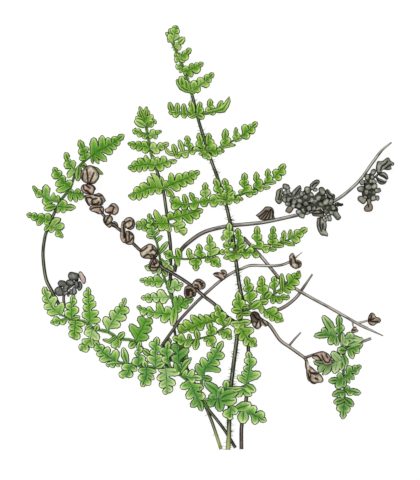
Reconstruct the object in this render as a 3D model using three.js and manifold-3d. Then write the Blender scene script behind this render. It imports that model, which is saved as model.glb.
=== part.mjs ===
// Fronds of a small tufted fern lying on a flat surface, cut at the foot and without a pot.
// Millimetres, +Z up, +Y toward the tip of the tall frond; the floor is z = 0.
import * as THREE from 'three';
import Module from 'manifold-3d';

// Driving dimensions
const BLADE = 0.62; // thickness of every leaf blade, margin included
const STALK_DEPTH = 1.3; // thickness of a blade's main stalk, in radii
const STALK_FLAT = 0.7; // height of a free stalk, in widths
const LOWEST = 0.33; // lowest middle of a blade
const DROOP = 0.09; // how far a lobe sinks per millimetre from its rib
const CROWN = 0.3; // rise of a rib between its root and its tip
const SINK = 0.03; // how far a rib sinks per millimetre of its length
const LEAN = 0.5; // lobes point this much forward per millimetre of reach
const LOBE_MAX = 2; // widest half lobe
const SMALL_LOBE = 2.3; // a lobe of less reach is one point
const LARGE_LOBE = 4.4; // a lobe of more reach has a round tip
const LONG_END = 3.6; // an end lobe of more length has a round tip
const NECK = 0.45; // half width of a leaf where it leaves its stalk
const STEM_SIDES = 6;
const DRY_SIDES = 4;
const STEM_STEP = 5; // longest straight stretch of a stalk
const ROLL_WALL = 0.75; // thickness of a dry rolled-up blade
const ROLL_WALL_SHARE = 0.42; // and its most, in radii
const ROLL_BARREL = 1.1; // how much slimmer a roll is at its ends
const WIDE_ROLL = 2.4; // a roll of more radius bulges in the middle
const ENROLLED = { turns: 1.3, start: 0, shrink: 0.56 }; // coil that shows its spiral
const FOLDED = { turns: 0.84, start: -0.2, shrink: 0.18 }; // roll that lies open below
const BEAD_SIDES = 4;
const BEAD_SPACE = 2.5; // least distance between two small dry lobes
const ROOT = 0.7; // how far a small lobe reaches into its stalk
const DROP = { least: 0.35, shoulder: 1.2, flat: 0.8, lowest: 0.6 }; // shape of a small dry lobe
const SHIFT = [1.6, -0.55, 0]; // moves the traced layout so the box is centred on the origin
const BELOW = [400, 400, 20]; // block of floor

// Proportions of a leaf, as shares of a rib's length or of a lobe's reach
const LEAF = {
  firstLobe: 0.1,
  lastLobe: 0.88,
  widestAt: 0.7,
  bluntAt: 0.95,
  lobeShape: 0.42,
  lobeLeast: 0.6, // millimetres
  narrowest: 0.3, // millimetres
  fill: 0.48, // half lobe, in distances to the next lobe
  smallTip: 0.3,
  notch: 0.32,
  lastNotch: 0.7,
  endRoom: 0.9, // millimetres
  endShape: 0.75,
  endLeast: 2, // millimetres
  endMost: 3.8, // millimetres
  endWidestAt: 0.5,
  endBluntAt: 0.88,
  endBlunt: 0.6,
};

// Fineness of the outlines
const FINEST = 0.25; // detail smaller than this is left out
const SCRAP = 0.7; // gaps and scraps of less area are filled or dropped
const SHEET_DEPTH = 1; // depth of the flat sheet in which a frond's outlines are joined
const NEAREST = 1e-3; // keeps the weight of the nearest outline point finite
const CORE = 0.05; // radius at which a stalk is swept before it is thickened

// Every leaf is one row: the rib from root to tip, the tips of its side lobes, and, where they
// matter, the width of the end lobe and how far its tip is lifted to clear what it crosses. All
// in millimetres, traced by eye from a drawing whose tall frond is about 21 cm long.
const TALL = [
  // tip, pinnules low on the topmost stretch
  [[-20.6, 98, -20.2, 102, -17.6, 106.4], [-22.9, 99.8, -23.9, 102.9, -22, 105.2, -20, 106.5, -17.4,
    103.6]],
  [[-19.2, 95.8, -14.1, 100.5], [-18.4, 98.3, -16.4, 94.2]],
  [[-16.8, 91, -14, 91.8, -11, 95.3], [-14.8, 93.9, -11.8, 90.3]],
  [[-16.6, 88.6, -18.8, 93], [-19.5, 89.6], 2.4],
  [[-16.9, 89.4, -16.5, 92.7], [], 1.6],
  [[-16.6, 90, -14.1, 88.3], [], 2.2],
  [[-14.9, 83.2, -11, 84.6, -4.7, 87.9], [-13.3, 86.5, -10.6, 87.8, -8.3, 88.2, -13.7, 81.4, -10.4, 80.8,
    -6.5, 83.4]],
  [[-14.8, 83.6, -17.2, 87.1], [-18.8, 85.8, -17, 83.2]],
  [[-10.4, 73.4, -14, 74.6, -16.6, 76.6, -18.1, 79.8], [], 2],
  [[-15, 75.6, -16, 81.4], [], 2.2],
  [[-13, 74.8, -13.8, 79.5], [], 1.9],
  [[-11.4, 74.2, -12.1, 78.4], [], 1.5],
  [[-10.2, 73.6, -7, 76.2, -3.5, 79, 0.4, 82.9], [-9.8, 79.3, -6.7, 80.9, -3.4, 82.3, -6.2, 73.9, -1.8,
    76.6, -0.7, 78.6]],
  [[-12.4, 74.5, -8.9, 72.7], [], 2],
  // pair near y 62
  [[-7.9, 61.8, -13, 62.2, -18, 63, -22.3, 63.4], [-12, 60.7, -15.1, 60.3, -19.6, 60.8, -14.7, 64.6]],
  [[-20.4, 63, -21.8, 68.4], [], 2.6],
  [[-17.8, 62.8, -17.8, 68], [], 2.5],
  [[-14.3, 62.4, -14.7, 67.6], [], 2.6],
  [[-9.9, 62.2, -10.9, 69.1], [-12.6, 64.8], 3],
  [[-8, 62.2, -11.5, 60.6], [], 2.2],
  [[-7.4, 61.6, -6.6, 68.6], [-4.6, 64.8], 2.8],
  [[-7.8, 61.8, -4.3, 60.4], [], 3],
  [[-4.8, 62.4, 0.5, 63.3, 4.6, 64.6, 7, 67.5, 8.1, 71.1], [0.9, 62], 1.8],
  [[-1.4, 63.2, -1.5, 70.1], [-3.8, 65, 0.9, 65.9], 2.8],
  [[2.4, 63.8, 4.5, 69.2], [], 2.6],
  // pair near y 43
  [[-3, 44.2, -8, 44.4, -13, 43.2, -18, 41.8, -22, 43, -24.3, 46.4],
    [-10.6, 42, -14.2, 40.3, -18.8, 40.1, -9.6, 45.9], 2.4, 0.9],
  [[-4.8, 44, -7.3, 53], [-8.6, 47.8, -4, 47], 2.8],
  [[-11.4, 43.8, -13.2, 51.6], [-10.1, 47.4, -14.4, 48], 2.8],
  [[-14.7, 43, -17, 49.5], [], 2.5],
  [[-18.2, 42, -20, 47.4], [], 2.6],
  [[-6.2, 43.8, -0.6, 40.1], [-7.2, 42, -4.2, 40], 3.4],
  [[-2.6, 42.6, -2.2, 53], [0.5, 49, -3.4, 46], 3],
  [[-2.2, 44, 2, 43.8, 5.8, 43.9], [1.4, 47.5, 3.6, 45.3, 1.7, 41.2, 4, 42.3]],
  [[3, 45.4, 8, 46.9, 11.4, 46.8], [], 2],
  [[6, 46.4, 6.2, 55.1], [3.8, 48.8, 8.8, 49.9], 3.2],
  [[10.6, 49, 14.8, 50.6], [9.7, 51.4], 2],
  [[11.5, 49.6, 11.3, 55.9], [13.4, 52.4], 2.1],
  [[14, 51, 18, 54.4, 22.2, 58.4], [15.6, 57.3, 18.4, 57.5, 18.4, 50.9, 21.1, 53.5]],
  // pair near y 19
  [[5, 19, 0, 19.4, -5, 18.8, -10, 17.6, -15, 16.8, -19, 17.8, -21.5, 20.2],
    [-1, 22, -5.7, 20.9, -17.5, 21.1, -0.2, 16, -4.8, 16, -10.4, 14.2, -15.4, 14.5, -20, 14.7], 0, 0.6],
  [[-3.8, 19.6, -3.9, 28.3], [-6.2, 23.8, -1.3, 24.1], 2.8],
  [[-8.4, 17.8, -11.8, 23.3], [-7.3, 20.4], 2.6],
  [[-13, 17, -14.6, 22.4], [], 2.7],
  [[5.8, 19.4, 3.6, 23.4, 1, 30.4], [0.1, 25.4, 4.7, 25.6], 3.2],
  [[6.6, 19.2, 7.2, 23.6, 5.6, 30.3], [9.3, 26.4, 4.8, 26.2], 3],
  [[6.4, 20.6, 1.1, 22], [5.6, 23.6]],
  [[6.6, 19.6, 10.9, 23.7], [], 3],
  [[6.6, 18.8, 10.6, 19.6, 15.2, 19.9], [9.6, 22, 13.4, 21.6, 12.6, 17.9, 9, 17.4]],
  [[6.8, 18.2, 0.5, 19.2], [3, 17, 6.4, 16.6], 2.6],
  [[13.6, 22, 15.6, 24.6, 15.8, 33.1], [13.5, 24.8, 13.2, 28.8, 17.8, 28.8, 19.2, 26.8], 3],
  [[16, 23, 22.5, 23.5], [19, 21, 19.6, 24.8], 2.6],
  [[22, 25.2, 21.5, 33.6], [20, 27.2, 24.8, 29], 2.8],
  [[21.4, 25.8, 28.8, 25.9], [24.4, 23.8], 2.3],
  [[27.2, 28.2, 27.4, 35.2], [25.8, 30, 29.7, 31], 2.6],
  [[26.4, 28.2, 31.6, 28.4], [], 2.2],
  [[30.4, 30.4, 33.4, 34, 35.9, 37.6], [30.8, 34.9, 34.4, 30.3, 36.5, 33]],
  // pair near y -4, with the leafy knot on the rachis
  [[8.4, -1.6, 8, 8.4], [5, 3.8, 10.2, 3.6], 3],
  [[10, 0.6, 3.8, 0.5], [5.6, 2.4, 6.3, -1], 2.4],
  [[10.6, -4, 4.9, -3.2], [6.2, -1.4, 6.4, -4.8, 10.6, -1.4], 2.4],
  [[11.6, -6.6, 3.3, -6.5], [6.2, -5, 6.4, -8.2], 2.6],
  [[11.4, -7.6, 5, -9.4], [9.4, -11.3], 2.6],
  [[11.2, -7.4, 14.8, -8.2], [12.4, -10.4], 2.8],
  [[11.4, -6, 12.8, -1.6, 12.3, 5.5], [15.5, 0.8, 10.8, 2], 3],
  [[11.6, -6, 16.6, -2.4], [], 3],
  [[11.8, -6.8, 17, -6.8, 22.8, -7], [19.6, -4.2, 22.4, -9.4, 17.4, -9.6, 14.6, -4.8]],
  [[-1.4, -8.6, -1.4, -4, -1.9, 2.3], [-4.2, -4, -3, -7, 1.3, -2.2, 3.2, -4.8], 2.8],
  [[-5.6, -9.2, -7.3, -2.3], [-9.3, -6.4, -3.8, -7.3], 2.8],
  [[-11.2, -9.8, -12.4, -4.6], [-9.2, -8.2], 2.8],
  [[-16.2, -9.8, -18.1, -4.5], [], 3],
  [[-16, -10, -20, -9, -24.7, -6.6], [-21.8, -5.3, -16.6, -13.8, -23.6, -9.6]],
  [[-8.4, -9.8, -8.5, -16.1], [-11.9, -12, -5.8, -12.3], 3],
  [[-3.4, -9.2, 0, -11, 3.9, -13.7], [-3, -12, 0.2, -13.9, 3.4, -9.8]],
  [[18.5, -4.8, 22, -3, 22, 6.5], [19.4, 1.8, 24.4, 1.8, 19.7, -2.3, 25.4, -0.9], 2.9],
  [[22, -4.4, 28.9, -3.5], [], 2.4],
  [[22.4, -4.4, 31.9, -5.3], [27, -7, 27.6, -4], 2.2],
  [[29.6, -2.8, 30.1, 6.5], [27.6, 2, 31.8, 2.1, 27.3, -0.8, 32.5, -0.5], 2.6],
  [[29.4, -2.8, 35.5, -3.4], [], 2.4],
  [[35, -1.2, 35.6, 4.4], [33.2, -0.6], 2.4],
  [[34.6, -1.4, 41, -3.1], [], 2],
  [[38.2, -0.2, 38.7, 4.9], [], 2.1],
  [[38.6, 0, 42.5, 2.5, 47, 5.4], [41.9, 4.9, 45, 1.4, 43.4, -1.3]],
  // lowest pair and the leaf under the node
  [[14.5, -38, 13.3, -33, 12.4, -26.1], [9.6, -31.2, 15.9, -30.9], 3.2],
  [[14.2, -35.6, 9.1, -35.5], [], 3.2],
  [[14.2, -34, 17.9, -33.3], [], 2.3],
  [[14.6, -37.2, 19.1, -36.9], [], 2.5],
  [[14.4, -37.4, 11.9, -39.8], [], 3],
  [[14, -42, 8.5, -42], [11, -44.6], 3],
  [[13, -42, 19, -41.2], [14.2, -45], 3.2],
  [[18.8, -34.8, 18, -27, 16.6, -18.6], [15.2, -24.2, 15.4, -28.4, 20, -22.8, 21.9, -26.4], 3],
  [[19, -34.6, 24, -30.9], [], 3.6],
  [[25, -30.4, 24.3, -18.3], [22, -21.4, 21.4, -24.5, 27.7, -23.8, 23.6, -28.6], 3],
  [[22, -32.2, 27.7, -30.8], [24.3, -37.4]],
  [[26, -29.8, 29.2, -26.6], [], 3],
  [[30.8, -27.6, 30.4, -18.5], [28.2, -22.3, 32.6, -21.4], 2.8],
  [[34.6, -25.4, 34.2, -17.1], [], 2.5],
  [[32, -26.4, 38.4, -22, 43.3, -15.8], [37.4, -17.3, 39.8, -17, 44, -18.6, 43.2, -22.2, 41, -25, 38.6,
    -27, 34.8, -27]],
  [[28.6, -28.8, 38.4, -29.2], [30, -32.4, 33.6, -32.2, 36, -27.7], 2.6],
  [[25, -35, 29, -37.8, 35.2, -41], [31.9, -34.4, 34.2, -37.4, 26.9, -39.5, 29.4, -41.2, 32, -41.9]],
  [[13.2, -43.4, 16, -48, 18.4, -51, 21.9, -53.5], [20.4, -45.1, 21.6, -50, 10.6, -47, 13.4, -50.8, 15.7,
    -53.1, 18.9, -54.1]],
  [[5.6, -43.6, 4, -39.4, 1.7, -32.5], [0.5, -37, 1.3, -40.3, 6.4, -36.7], 3, 0.5],
  [[6.6, -43.2, 8.9, -38.7], [3.1, -43.6], 2.6],
  [[3.4, -45.4, 6, -46.8, 9.4, -48.9], [9, -45.4, 3, -48, 5.2, -49.9, 8, -50.3]],
  [[-1, -48, -1, -45, -2.3, -41.1], [-3.5, -46.4, 1.8, -44.3], 3.2],
  [[-3.6, -48.8, -1.6, -50.4, 0.6, -53.8], [1.8, -50.2, -3, -53.3, -4.8, -50.8]],
  [[-7.4, -50, -8.4, -45.2], [], 2.8],
  [[-8, -49.6, -8.9, -55.3], [], 3.2],
  [[-11.4, -50.6, -12.1, -47.2], [], 2],
  [[-10, -50.4, -15, -50.9, -20.2, -49], [-16, -46.9, -17.4, -52.6, -13.6, -54.2], 0, 0.2],
  [[4.2, -41.6, 0.4, -40.5, -5, -42, -9.6, -44, -14.4, -45.8, -17.6, -46.6],
    [-1.5, -36.8, -4.5, -37.8, -7.4, -37.4, -11.3, -38, -15, -40.6, -17.2, -42.6, -6.4, -45.8, -10.4,
    -47], 0, -0.3],
];
const UPPER_LEFT = [
  [[-33.5, 56, -34.2, 61, -33.3, 66.2], [-36.7, 65.8, -38.6, 62.7, -39, 60.8, -31.5, 64.4, -29.8, 62]],
  [[-33.2, 56.6, -39.3, 59.3], [-36.4, 56.6], 2.8],
  [[-33, 56, -28.3, 59.5], [-30.8, 59.6, -29.7, 56.3], 2.4],
  [[-32.3, 51.4, -36, 52.6, -40, 54.4], [-36.7, 55, -36, 50]],
  [[-32.2, 51.4, -29, 52.2, -25.5, 54], [-29.9, 54.7, -27.6, 54.4, -30.4, 50.1, -27.8, 49.9]],
  [[-31.4, 45.4, -36, 46.6, -42.7, 47.7], [-34.8, 48.9, -37.6, 49, -40.6, 48.8, -35.2, 43.2, -37.8, 43.9,
    -40.6, 45]],
  [[-31.4, 45, -27, 45.4, -22, 47.9], [-29.3, 48.3, -26.4, 48.2, -27.4, 42.6, -24.2, 44.8]],
  [[-28.8, 36.6, -33, 37.4, -38, 36.6, -42.6, 35.4], [-31, 40, -34.4, 42, -37.4, 40.3, -40, 38.8, -31.6,
    34, -34.4, 33.8, -37.2, 33.2, -39.8, 33.4]],
  [[-28.8, 36.6, -30, 41.8], [], 1.9],
  [[-28.8, 36.6, -23, 38.4, -18.4, 39.6], [-27.7, 41, -24.7, 41.6, -24.9, 34.2, -21.4, 36.1, -18.6,
    37.8]],
  [[-25, 25.2, -31, 25.8, -36, 23.8, -42.5, 21.4], [-29.8, 33, -33.4, 31.1, -36.4, 27.6, -39.2, 25.8,
    -26.6, 22.2, -30.8, 21.9, -34, 20.3, -37, 19.2, -39.9, 19.3]],
  [[-25.2, 26, -26, 31.2], [], 2.4],
  [[-25, 25.4, -18, 28.4, -12.5, 30.6, -6.6, 33.8], [-23.4, 29.4, -21.2, 33.2, -16.6, 33, -13.5, 33.6,
    -10.8, 34.3, -16.4, 24.3, -13.2, 26.4, -9.6, 27.9, -8.2, 30.2]],
  [[-24.9, 25, -22, 24.2, -19.2, 20.2], [-22.8, 21.4]],
  [[-22.4, 7.6, -30, 7.6, -38.3, 6.6], [-25.3, 12, -28.8, 14.8, -32.6, 10.6, -35.7, 10, -38, 8.8, -26.6,
    4.1, -30.4, 4.6, -34.8, 3.9, -37.6, 4.6]],
  [[-22.8, 9.8, -17, 11, -10, 13.4, -4.9, 14.7], [-21.4, 13.7, -17.6, 14.8, -13.6, 15.4, -15.4, 8.6,
    -10.2, 7.8, -7.2, 10.2]],
  [[-22.3, 7.2, -18.5, 6.4, -14.2, 1.7], [-12.9, 4.8, -13.6, 7.4, -18.6, 3.4]],
  [[-22.2, 6.8, -21.3, 3.4], [-24.1, 4.5], 2.6],
];
const MIDDLE = [
  [[-29.9, 2.6, -31, 7, -31.9, 12.8], [-33.2, 9.8, -30, 9.4, -33.4, 7, -29.2, 6.2, -33.1, 4.4]],
  [[-29.3, 1, -33.3, 1.6], [], 2.2],
  [[-29.6, 1.6, -26.7, 4.3], [], 2],
  [[-28.4, -1.2, -25.3, 1.7], [], 1.9],
  [[-26.8, -7, -22.4, -1.3], [], 2.4],
  [[-26, -10.2, -23, -12.6, -19.8, -15.9], [-21.4, -11.8, -24.4, -14.6]],
  [[-25.6, -13.8, -34.3, -13.6], [-32.8, -15.9, -30, -17.4, -27.4, -17.9], 2.4],
  [[-25, -15.8, -22.8, -18.6], [], 2.4],
  [[-23.8, -20.8, -30, -21.4, -36.7, -20.5], [-29.3, -18, -31.8, -18.7, -34, -19.1, -28, -24.1, -31,
    -23.6, -33.6, -23.3]],
  [[-22.4, -25.2, -17.6, -23.5, -14.8, -22.2], [-19, -19.7, -16.2, -25.4, -19.6, -26.6]],
  [[-22.6, -24.8, -22, -20.1], [], 1.8],
  [[-21.4, -29, -27, -29, -36, -29.4], [-27, -25.2, -30.6, -26.9, -33.2, -27.3, -25.8, -32.1, -29, -31.6,
    -32.6, -31.7]],
  [[-18.8, -37.8, -25, -37.2, -30, -36.6, -38.2, -33.8], [-23.4, -33.7, -27.6, -30.8, -32, -33.7, -34.8,
    -34, -25.4, -41.8, -29.4, -39.4, -32.8, -39.1, -36, -37.8]],
  [[-19, -33.2, -19.4, -37, -20.2, -43.4], [], 3.8, -0.5],
  [[-19, -35.4, -15, -31.6, -9.7, -29.7], [-19, -28.7, -16.3, -27.6, -12.9, -34.6, -15.8, -36], 0, -0.4],
];
const ARCHING = [
  [[-62, 40.6, -56, 44.6, -50, 47.8, -44.4, 52.2], [-59.5, 51, -55.2, 52, -52.3, 51, -49.6, 51.4, -60.2,
    37.3, -57, 37.4, -52.8, 39, -50.2, 42.6, -48.2, 45, -46.4, 47.2]],
  [[-63.4, 39.4, -64.6, 44, -66.9, 49.6], [-67.4, 43.8, -66.9, 40, -62.2, 45.8, -61.6, 43]],
  [[-68.2, 33.6, -71.4, 37, -73.9, 43.4], [-74.7, 37.4, -72.4, 30.4, -71.2, 39.9, -69, 38.9]],
  [[-66.8, 36.4, -67.6, 28.9], [], 3.2],
  [[-65.6, 37, -60, 34.8, -54.8, 32.3], [-63.4, 37.6]],
  [[-71, 25.8, -75.6, 29.6, -79.7, 35.8], [-78.2, 23.8, -79.2, 27.2, -80.7, 31.8, -70.8, 29.4, -74.2,
    31.6, -76, 34.2]],
  [[-72, 23.6, -68.5, 22.8, -64.5, 22.4], [-71, 18.7, -68, 18.2, -65.8, 19.4, -70, 24.6, -66.8, 25.1]],
  [[-76.4, 18.8, -82, 19.4, -86, 22.4, -89.2, 23.6], [-77.6, 22, -80.2, 23.4, -82.7, 26.8, -87, 24.8,
    -85.2, 17.8, -88.2, 21]],
  [[-78.4, 16.4, -84.5, 15], [], 3.4],
  [[-77.8, 16.4, -73, 15.8, -68.5, 15.8], [-73.4, 19.4, -77.9, 12.8, -74.6, 12.9]],
  [[-81, 9.2, -86, 10.6, -93.2, 12.3], [-83, 12.9, -86.2, 12.9, -89.6, 13.2, -84.2, 7.4, -87.6, 6.6,
    -90.4, 9.4]],
  [[-81.6, 6.2, -78, 5, -74.9, 0.5], [-77, 10.8, -73.7, 6.7, -80.3, 3, -78.2, 1.2]],
  [[-81.4, 7, -84.1, 4], [], 2.4],
];
const LOWER_LEFT = [
  [[-75.6, -38, -80, -34.4, -83, -29, -84.6, -23.8], [-82.4, -37.4, -84.6, -34, -85.3, -30, -75.2, -31.1,
    -78.2, -28.4, -81, -26.3]],
  [[-71.6, -39.6, -76, -40.7, -81.2, -41.8], [-79.4, -39, -75.4, -42.9, -78.4, -43.4]],
  [[-70.4, -40, -70.6, -34, -69.8, -27.6], [-73.5, -32.4, -74, -36.2, -67, -34.3, -68, -30.6]],
  [[-70, -39.6, -66.2, -38.9], [], 2.2],
  [[-68.6, -40.6, -69, -45, -69.4, -50.2], [-72.4, -41.4, -72.2, -44.6, -72, -48.2, -63.8, -42.6, -65.2,
    -46.2, -66.4, -49.4]],
  [[-61.4, -42.6, -61.8, -36, -62.3, -24], [-64.8, -26.8, -65.1, -30, -64.9, -33.4, -65.4, -37, -59.4,
    -28.8, -58.5, -31.4, -57, -36.2, -56, -40.2]],
  [[-60.2, -45, -61.4, -50.6, -66.6, -55.8], [-64.4, -47.4, -65.5, -50.6, -67.1, -53.4, -56.8, -50.2,
    -60.2, -54.6, -63, -56.6], 0, -0.7],
  [[-60.4, -43, -64, -45], [], 2.2],
  [[-58.6, -46, -57.5, -42.6], [], 2.8],
  [[-53, -46.4, -50, -41, -46.4, -35.6, -43.6, -29.4], [-54.5, -39, -50.9, -35.6, -48.6, -34.1, -46.4,
    -31.8, -46, -43, -43.1, -39.6, -41.6, -35.5]],
  [[-48.6, -48.6, -51.6, -51.2, -55.2, -50.2], [], 2],
  [[-47.6, -49.4, -47, -54.4], [-50.8, -53.8], 3],
  [[-47.4, -49.6, -44.2, -46.6], [], 2.8],
  [[-38.8, -51.2, -37, -47.6, -34.6, -43, -33.4, -39.6], [-41.6, -42.4, -37.4, -38.9, -31.9, -49.1,
    -30.5, -45.1, -29.8, -40.4]],
  [[-39, -51.6, -41.9, -54.4], [], 3.2],
  [[-31.4, -58, -35.2, -55], [], 2.8],
];
const FRONT = [
  [[-48, -61.4, -54, -57.4, -59.1, -50.8], [-48.2, -54.9, -51.9, -54, -55, -52.6, -59.5, -54.8, -58.4,
    -57.5, -57, -60.4], 0, 0.3],
  [[-46.4, -62, -53.6, -62.5], [-47.6, -63.9, -50.6, -64.3], 2.8],
  [[-42.8, -62, -44, -58, -44.9, -54.2], [], 3.3],
  [[-37.2, -63.2, -37.2, -57, -36.6, -50.6], [-38.9, -56, -40.4, -60.2, -35, -54.6, -33.7, -58.8], 2.4],
  [[-40.2, -62.6, -42, -65.8, -43.4, -69.2], [-46, -64.2, -47.2, -67.8, -38, -65.8, -40.4, -68.8]],
  [[-28.6, -64, -28.8, -57, -27.8, -48.7], [-31.9, -51.8, -31.3, -55.4, -33, -58.8, -25.6, -54, -24.8,
    -58.3], 0, 0.4],
  [[-33.6, -63.8, -34.4, -60.6], [], 3.2],
  [[-33, -64, -33.4, -69, -35.6, -73.8], [-37.4, -65.6, -37.4, -69, -28.2, -66.4, -29.2, -69.6, -31.2,
    -72.8]],
  [[-28.6, -64, -24, -61.6], [], 3.2],
  [[-23.6, -64.4, -23.2, -69, -22.8, -77.4], [-27.3, -65, -28, -70, -26.8, -73.6, -25, -76.8, -16.2,
    -66.8, -18.7, -72.6, -20, -75.6]],
  [[-15.6, -68.4, -10, -69, -5.3, -69.3], [-13, -65, -9.8, -64.9, -9.6, -71.7]],
  [[-12, -70.2, -9.4, -76, -6.8, -81, -5.4, -85.9], [-16.5, -74.2, -13, -79.8, -11.2, -83.6, -4.6, -73.8,
    -3.8, -78.2]],
  [[-16.6, -67.4, -17, -60, -17.8, -51.8], [-21.2, -53.2, -20.9, -58.8, -12, -54.8], 0, -0.4],
  [[-17.6, -67.6, -14, -62.4, -10.6, -59.2], [-19, -61.2], 3.2],
  [[-21, -65.8, -23.2, -57, -22.2, -50.6], [-26.6, -54.6, -25.6, -59.6, -19.8, -56], 0, 0.5],
  [[-19.6, -67, -18, -64], [], 3.6],
  [[-6.6, -78.2, -5.4, -69, -4, -64.6, 0, -60, 2.6, -55, 5, -50.9],
    [-8.7, -62.6, -5.7, -59, -2.5, -56.5, -0.8, -54.4, 3.9, -65.8, 3.2, -62.8, 5.9, -58.2], 0, -0.6],
  [[-5.4, -69, -0.4, -70], [], 2.8],
  [[2.2, -79.4, 1, -75.6, -4.2, -71.4], [], 4],
  [[2, -79.8, -4.2, -80.6], [-1.4, -77, -1.8, -83.8]],
  [[2.6, -79.6, 4.7, -73.8], [], 3.6],
  [[3, -79.6, 6, -78, 12.8, -75.4], [], 3.8],
  [[2.8, -80, 4, -86.1], [], 3.9],
  [[4.2, -80.8, 11.9, -79.8], [], 4],
  [[9, -83.6, 7.6, -90], [12, -86.4, 5.4, -87.4]],
  [[11, -84.8, 19.2, -82.4], [], 3.6],
  [[15, -86.4, 14.8, -92.1], [], 4.4],
  [[16, -86.8, 20, -87.4, 26.4, -91], [22, -84, 25.2, -86.8, 20.8, -92.3]],
  [[6.6, -74.2, 6.6, -70.3], [], 3.4],
  [[16.6, -72.4, 18, -66, 18.4, -61, 17.5, -55.8], [12, -68, 14.2, -66, 15.2, -63.8, 15.6, -60.2, 24,
    -67.2, 21.5, -59.6]],
  [[16.4, -72.6, 21.2, -76.2], [], 3.6],
  [[13.4, -74.2, 19.2, -78.2], [12.4, -79.6], 3.6],
];
const RIGHT = [
  [[61, -48.4, 58.6, -43.6, 54.8, -38.3], [], 3.9],
  [[61.6, -48.6, 56, -47.7, 50.3, -48.7], [54.6, -44, 57.6, -43.8, 57.8, -52.8]],
  [[61.4, -48.6, 61.9, -53.3], [], 3],
  [[63, -50, 63.2, -43, 62.8, -37.8], [65.6, -43.8, 60.6, -44.4]],
  [[64.8, -53.6, 64.8, -46.6], [], 2.4],
  [[64, -49.8, 69, -49.4, 74, -50.6], [70, -46.7, 67.4, -53.4]],
  [[66.8, -55.4, 70.6, -54.2, 74.9, -52.3], [73, -57, 70, -60]],
  [[66.4, -55.8, 62, -55.4], [], 3.8],
  [[64.6, -60.2, 60, -61.6, 55, -62.6, 50.2, -61], [59, -56.3, 60.4, -67.3, 56, -68, 52.4, -66.6]],
  [[65, -58, 66.7, -63.6], [], 3.2],
  [[64.8, -60, 64.2, -65.6], [], 3],
  [[65.3, -69.4, 69, -66.2, 74.2, -63.3], [68.4, -63, 70.8, -62.8, 72.8, -67, 70.9, -70, 68.4, -72.2]],
  [[65.3, -69.8, 61.6, -70.6, 57.6, -71], [63, -66.7, 62, -75.1]],
  [[65.2, -69.6, 65.5, -74], [], 2.8],
  [[65.7, -75, 69, -76, 74, -77], [67.2, -73, 69, -78.4]],
  [[65.6, -76.4, 62.6, -76.8, 59.4, -78.2], [64.4, -79.6], 3.2],
  [[65.6, -80, 60.2, -81.8], [], 3.2],
  [[65.6, -79.6, 70.3, -83.4], [], 3.4],
  [[65.5, -82, 65.2, -86, 64.8, -90.1], [61.7, -85.2, 68.4, -86]],
];


// Stalks: points [x, y, height of the axis], then the radius at the first and the last point.
const TALL_STIPE = [[7.5, -105, 2.7], [7.9, -98.8, 3.3], [8.1, -90.5, 1.7], [8.6, -79, 1.5],
  [9.3, -70.5, 1.6], [10.8, -58.5, 1.9], [12, -49.2, 2.3]];
const TALL_STEMS = [
  [[[12.2, -47.2, 2.4], [12.8, -43, 3], [14, -38.5, 3], [14.6, -31, 3], [13, -22, 2.9], [11.6, -12, 2.8],
    [10.2, -1, 2.8], [8.6, 8, 2.8], [6.6, 16.5, 2.8], [2.6, 29.5, 2.7], [-1, 39.5, 2.6], [-4.7, 51, 2.5],
    [-7.6, 60.5, 2.4], [-10.2, 71, 2.2], [-13, 80, 2], [-16.4, 89.5, 1.6], [-19.4, 96, 1.3],
      [-20.5, 100, 1]],
  0.98, 0.6],
  [[[14, -36.5, 3], [19.2, -34.4, 3], [24, -31, 3], [28.4, -28.8, 3], [33, -26, 3]], 0.5, 0.35],
  [[[12.8, -42, 3], [9.5, -41.9, 3], [6.4, -43.2, 3], [3.4, -45.6, 3], [-1, -48, 3], [-8, -50, 3.1],
    [-12, -50.6, 3.1]], 0.5, 0.35],
  [[[11, -6.4, 2.8], [16, -5.6, 2.8], [22, -4, 2.7], [29, -2.8, 2.5], [35, -1.3, 2.2], [39, 0, 2]],
    0.5, 0.33],
  [[[11, -7, 2.8], [3.5, -7.1, 2.8], [-2, -8.9, 2.7], [-8, -9.7, 2.6], [-14, -10, 2.5], [-18, -9.6, 2.4]],
    0.5, 0.35],
  [[[6, 19.2, 2.8], [11, 21.2, 2.7], [16.5, 23, 2.5], [22, 25.6, 2.2], [27.2, 28.5, 1.9],
    [30.8, 31, 1.7]],
    0.5, 0.33],
  [[[6, 19, 2.8], [0, 19.3, 2.8], [-5, 18.8, 2.8], [-10, 17.6, 2.7]], 0.5, 0.33],
  [[[-2.4, 43.6, 2.6], [1.5, 44.6, 2.5], [5.8, 46.8, 2.3], [10, 49, 2], [14.4, 51.2, 1.7]], 0.5, 0.33],
  [[[-7.8, 61.6, 2.4], [-4, 62.6, 2.3], [0.6, 63.4, 2.1], [4, 64.3, 1.9]], 0.45, 0.33],
];
const UPPER_LEFT_STIPE = [[-20.4, -30, 0.62], [-21.2, -24, 0.62], [-21.3, -18, 0.62], [-21.2, -5, 0.7],
  [-21.8, 1.8, 1]];
const UPPER_LEFT_STEMS = [
  [[[-22, 2.9, 1], [-22.4, 7, 1.2], [-23.4, 15, 1.5], [-25.2, 26, 1.7], [-28.2, 34.5, 1.8],
    [-30.7, 42, 1.9],
    [-32.2, 50, 1.8], [-33.5, 57, 1.6]], 0.85, 0.6],
];
const MIDDLE_STIPE = [[4, -105, 0.8], [-0.3, -92, 0.75], [-3.3, -84.6, 0.7], [-8, -74.5, 0.7],
  [-13.5, -63.5, 0.7],
  [-16.7, -56.3, 0.75]];
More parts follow.
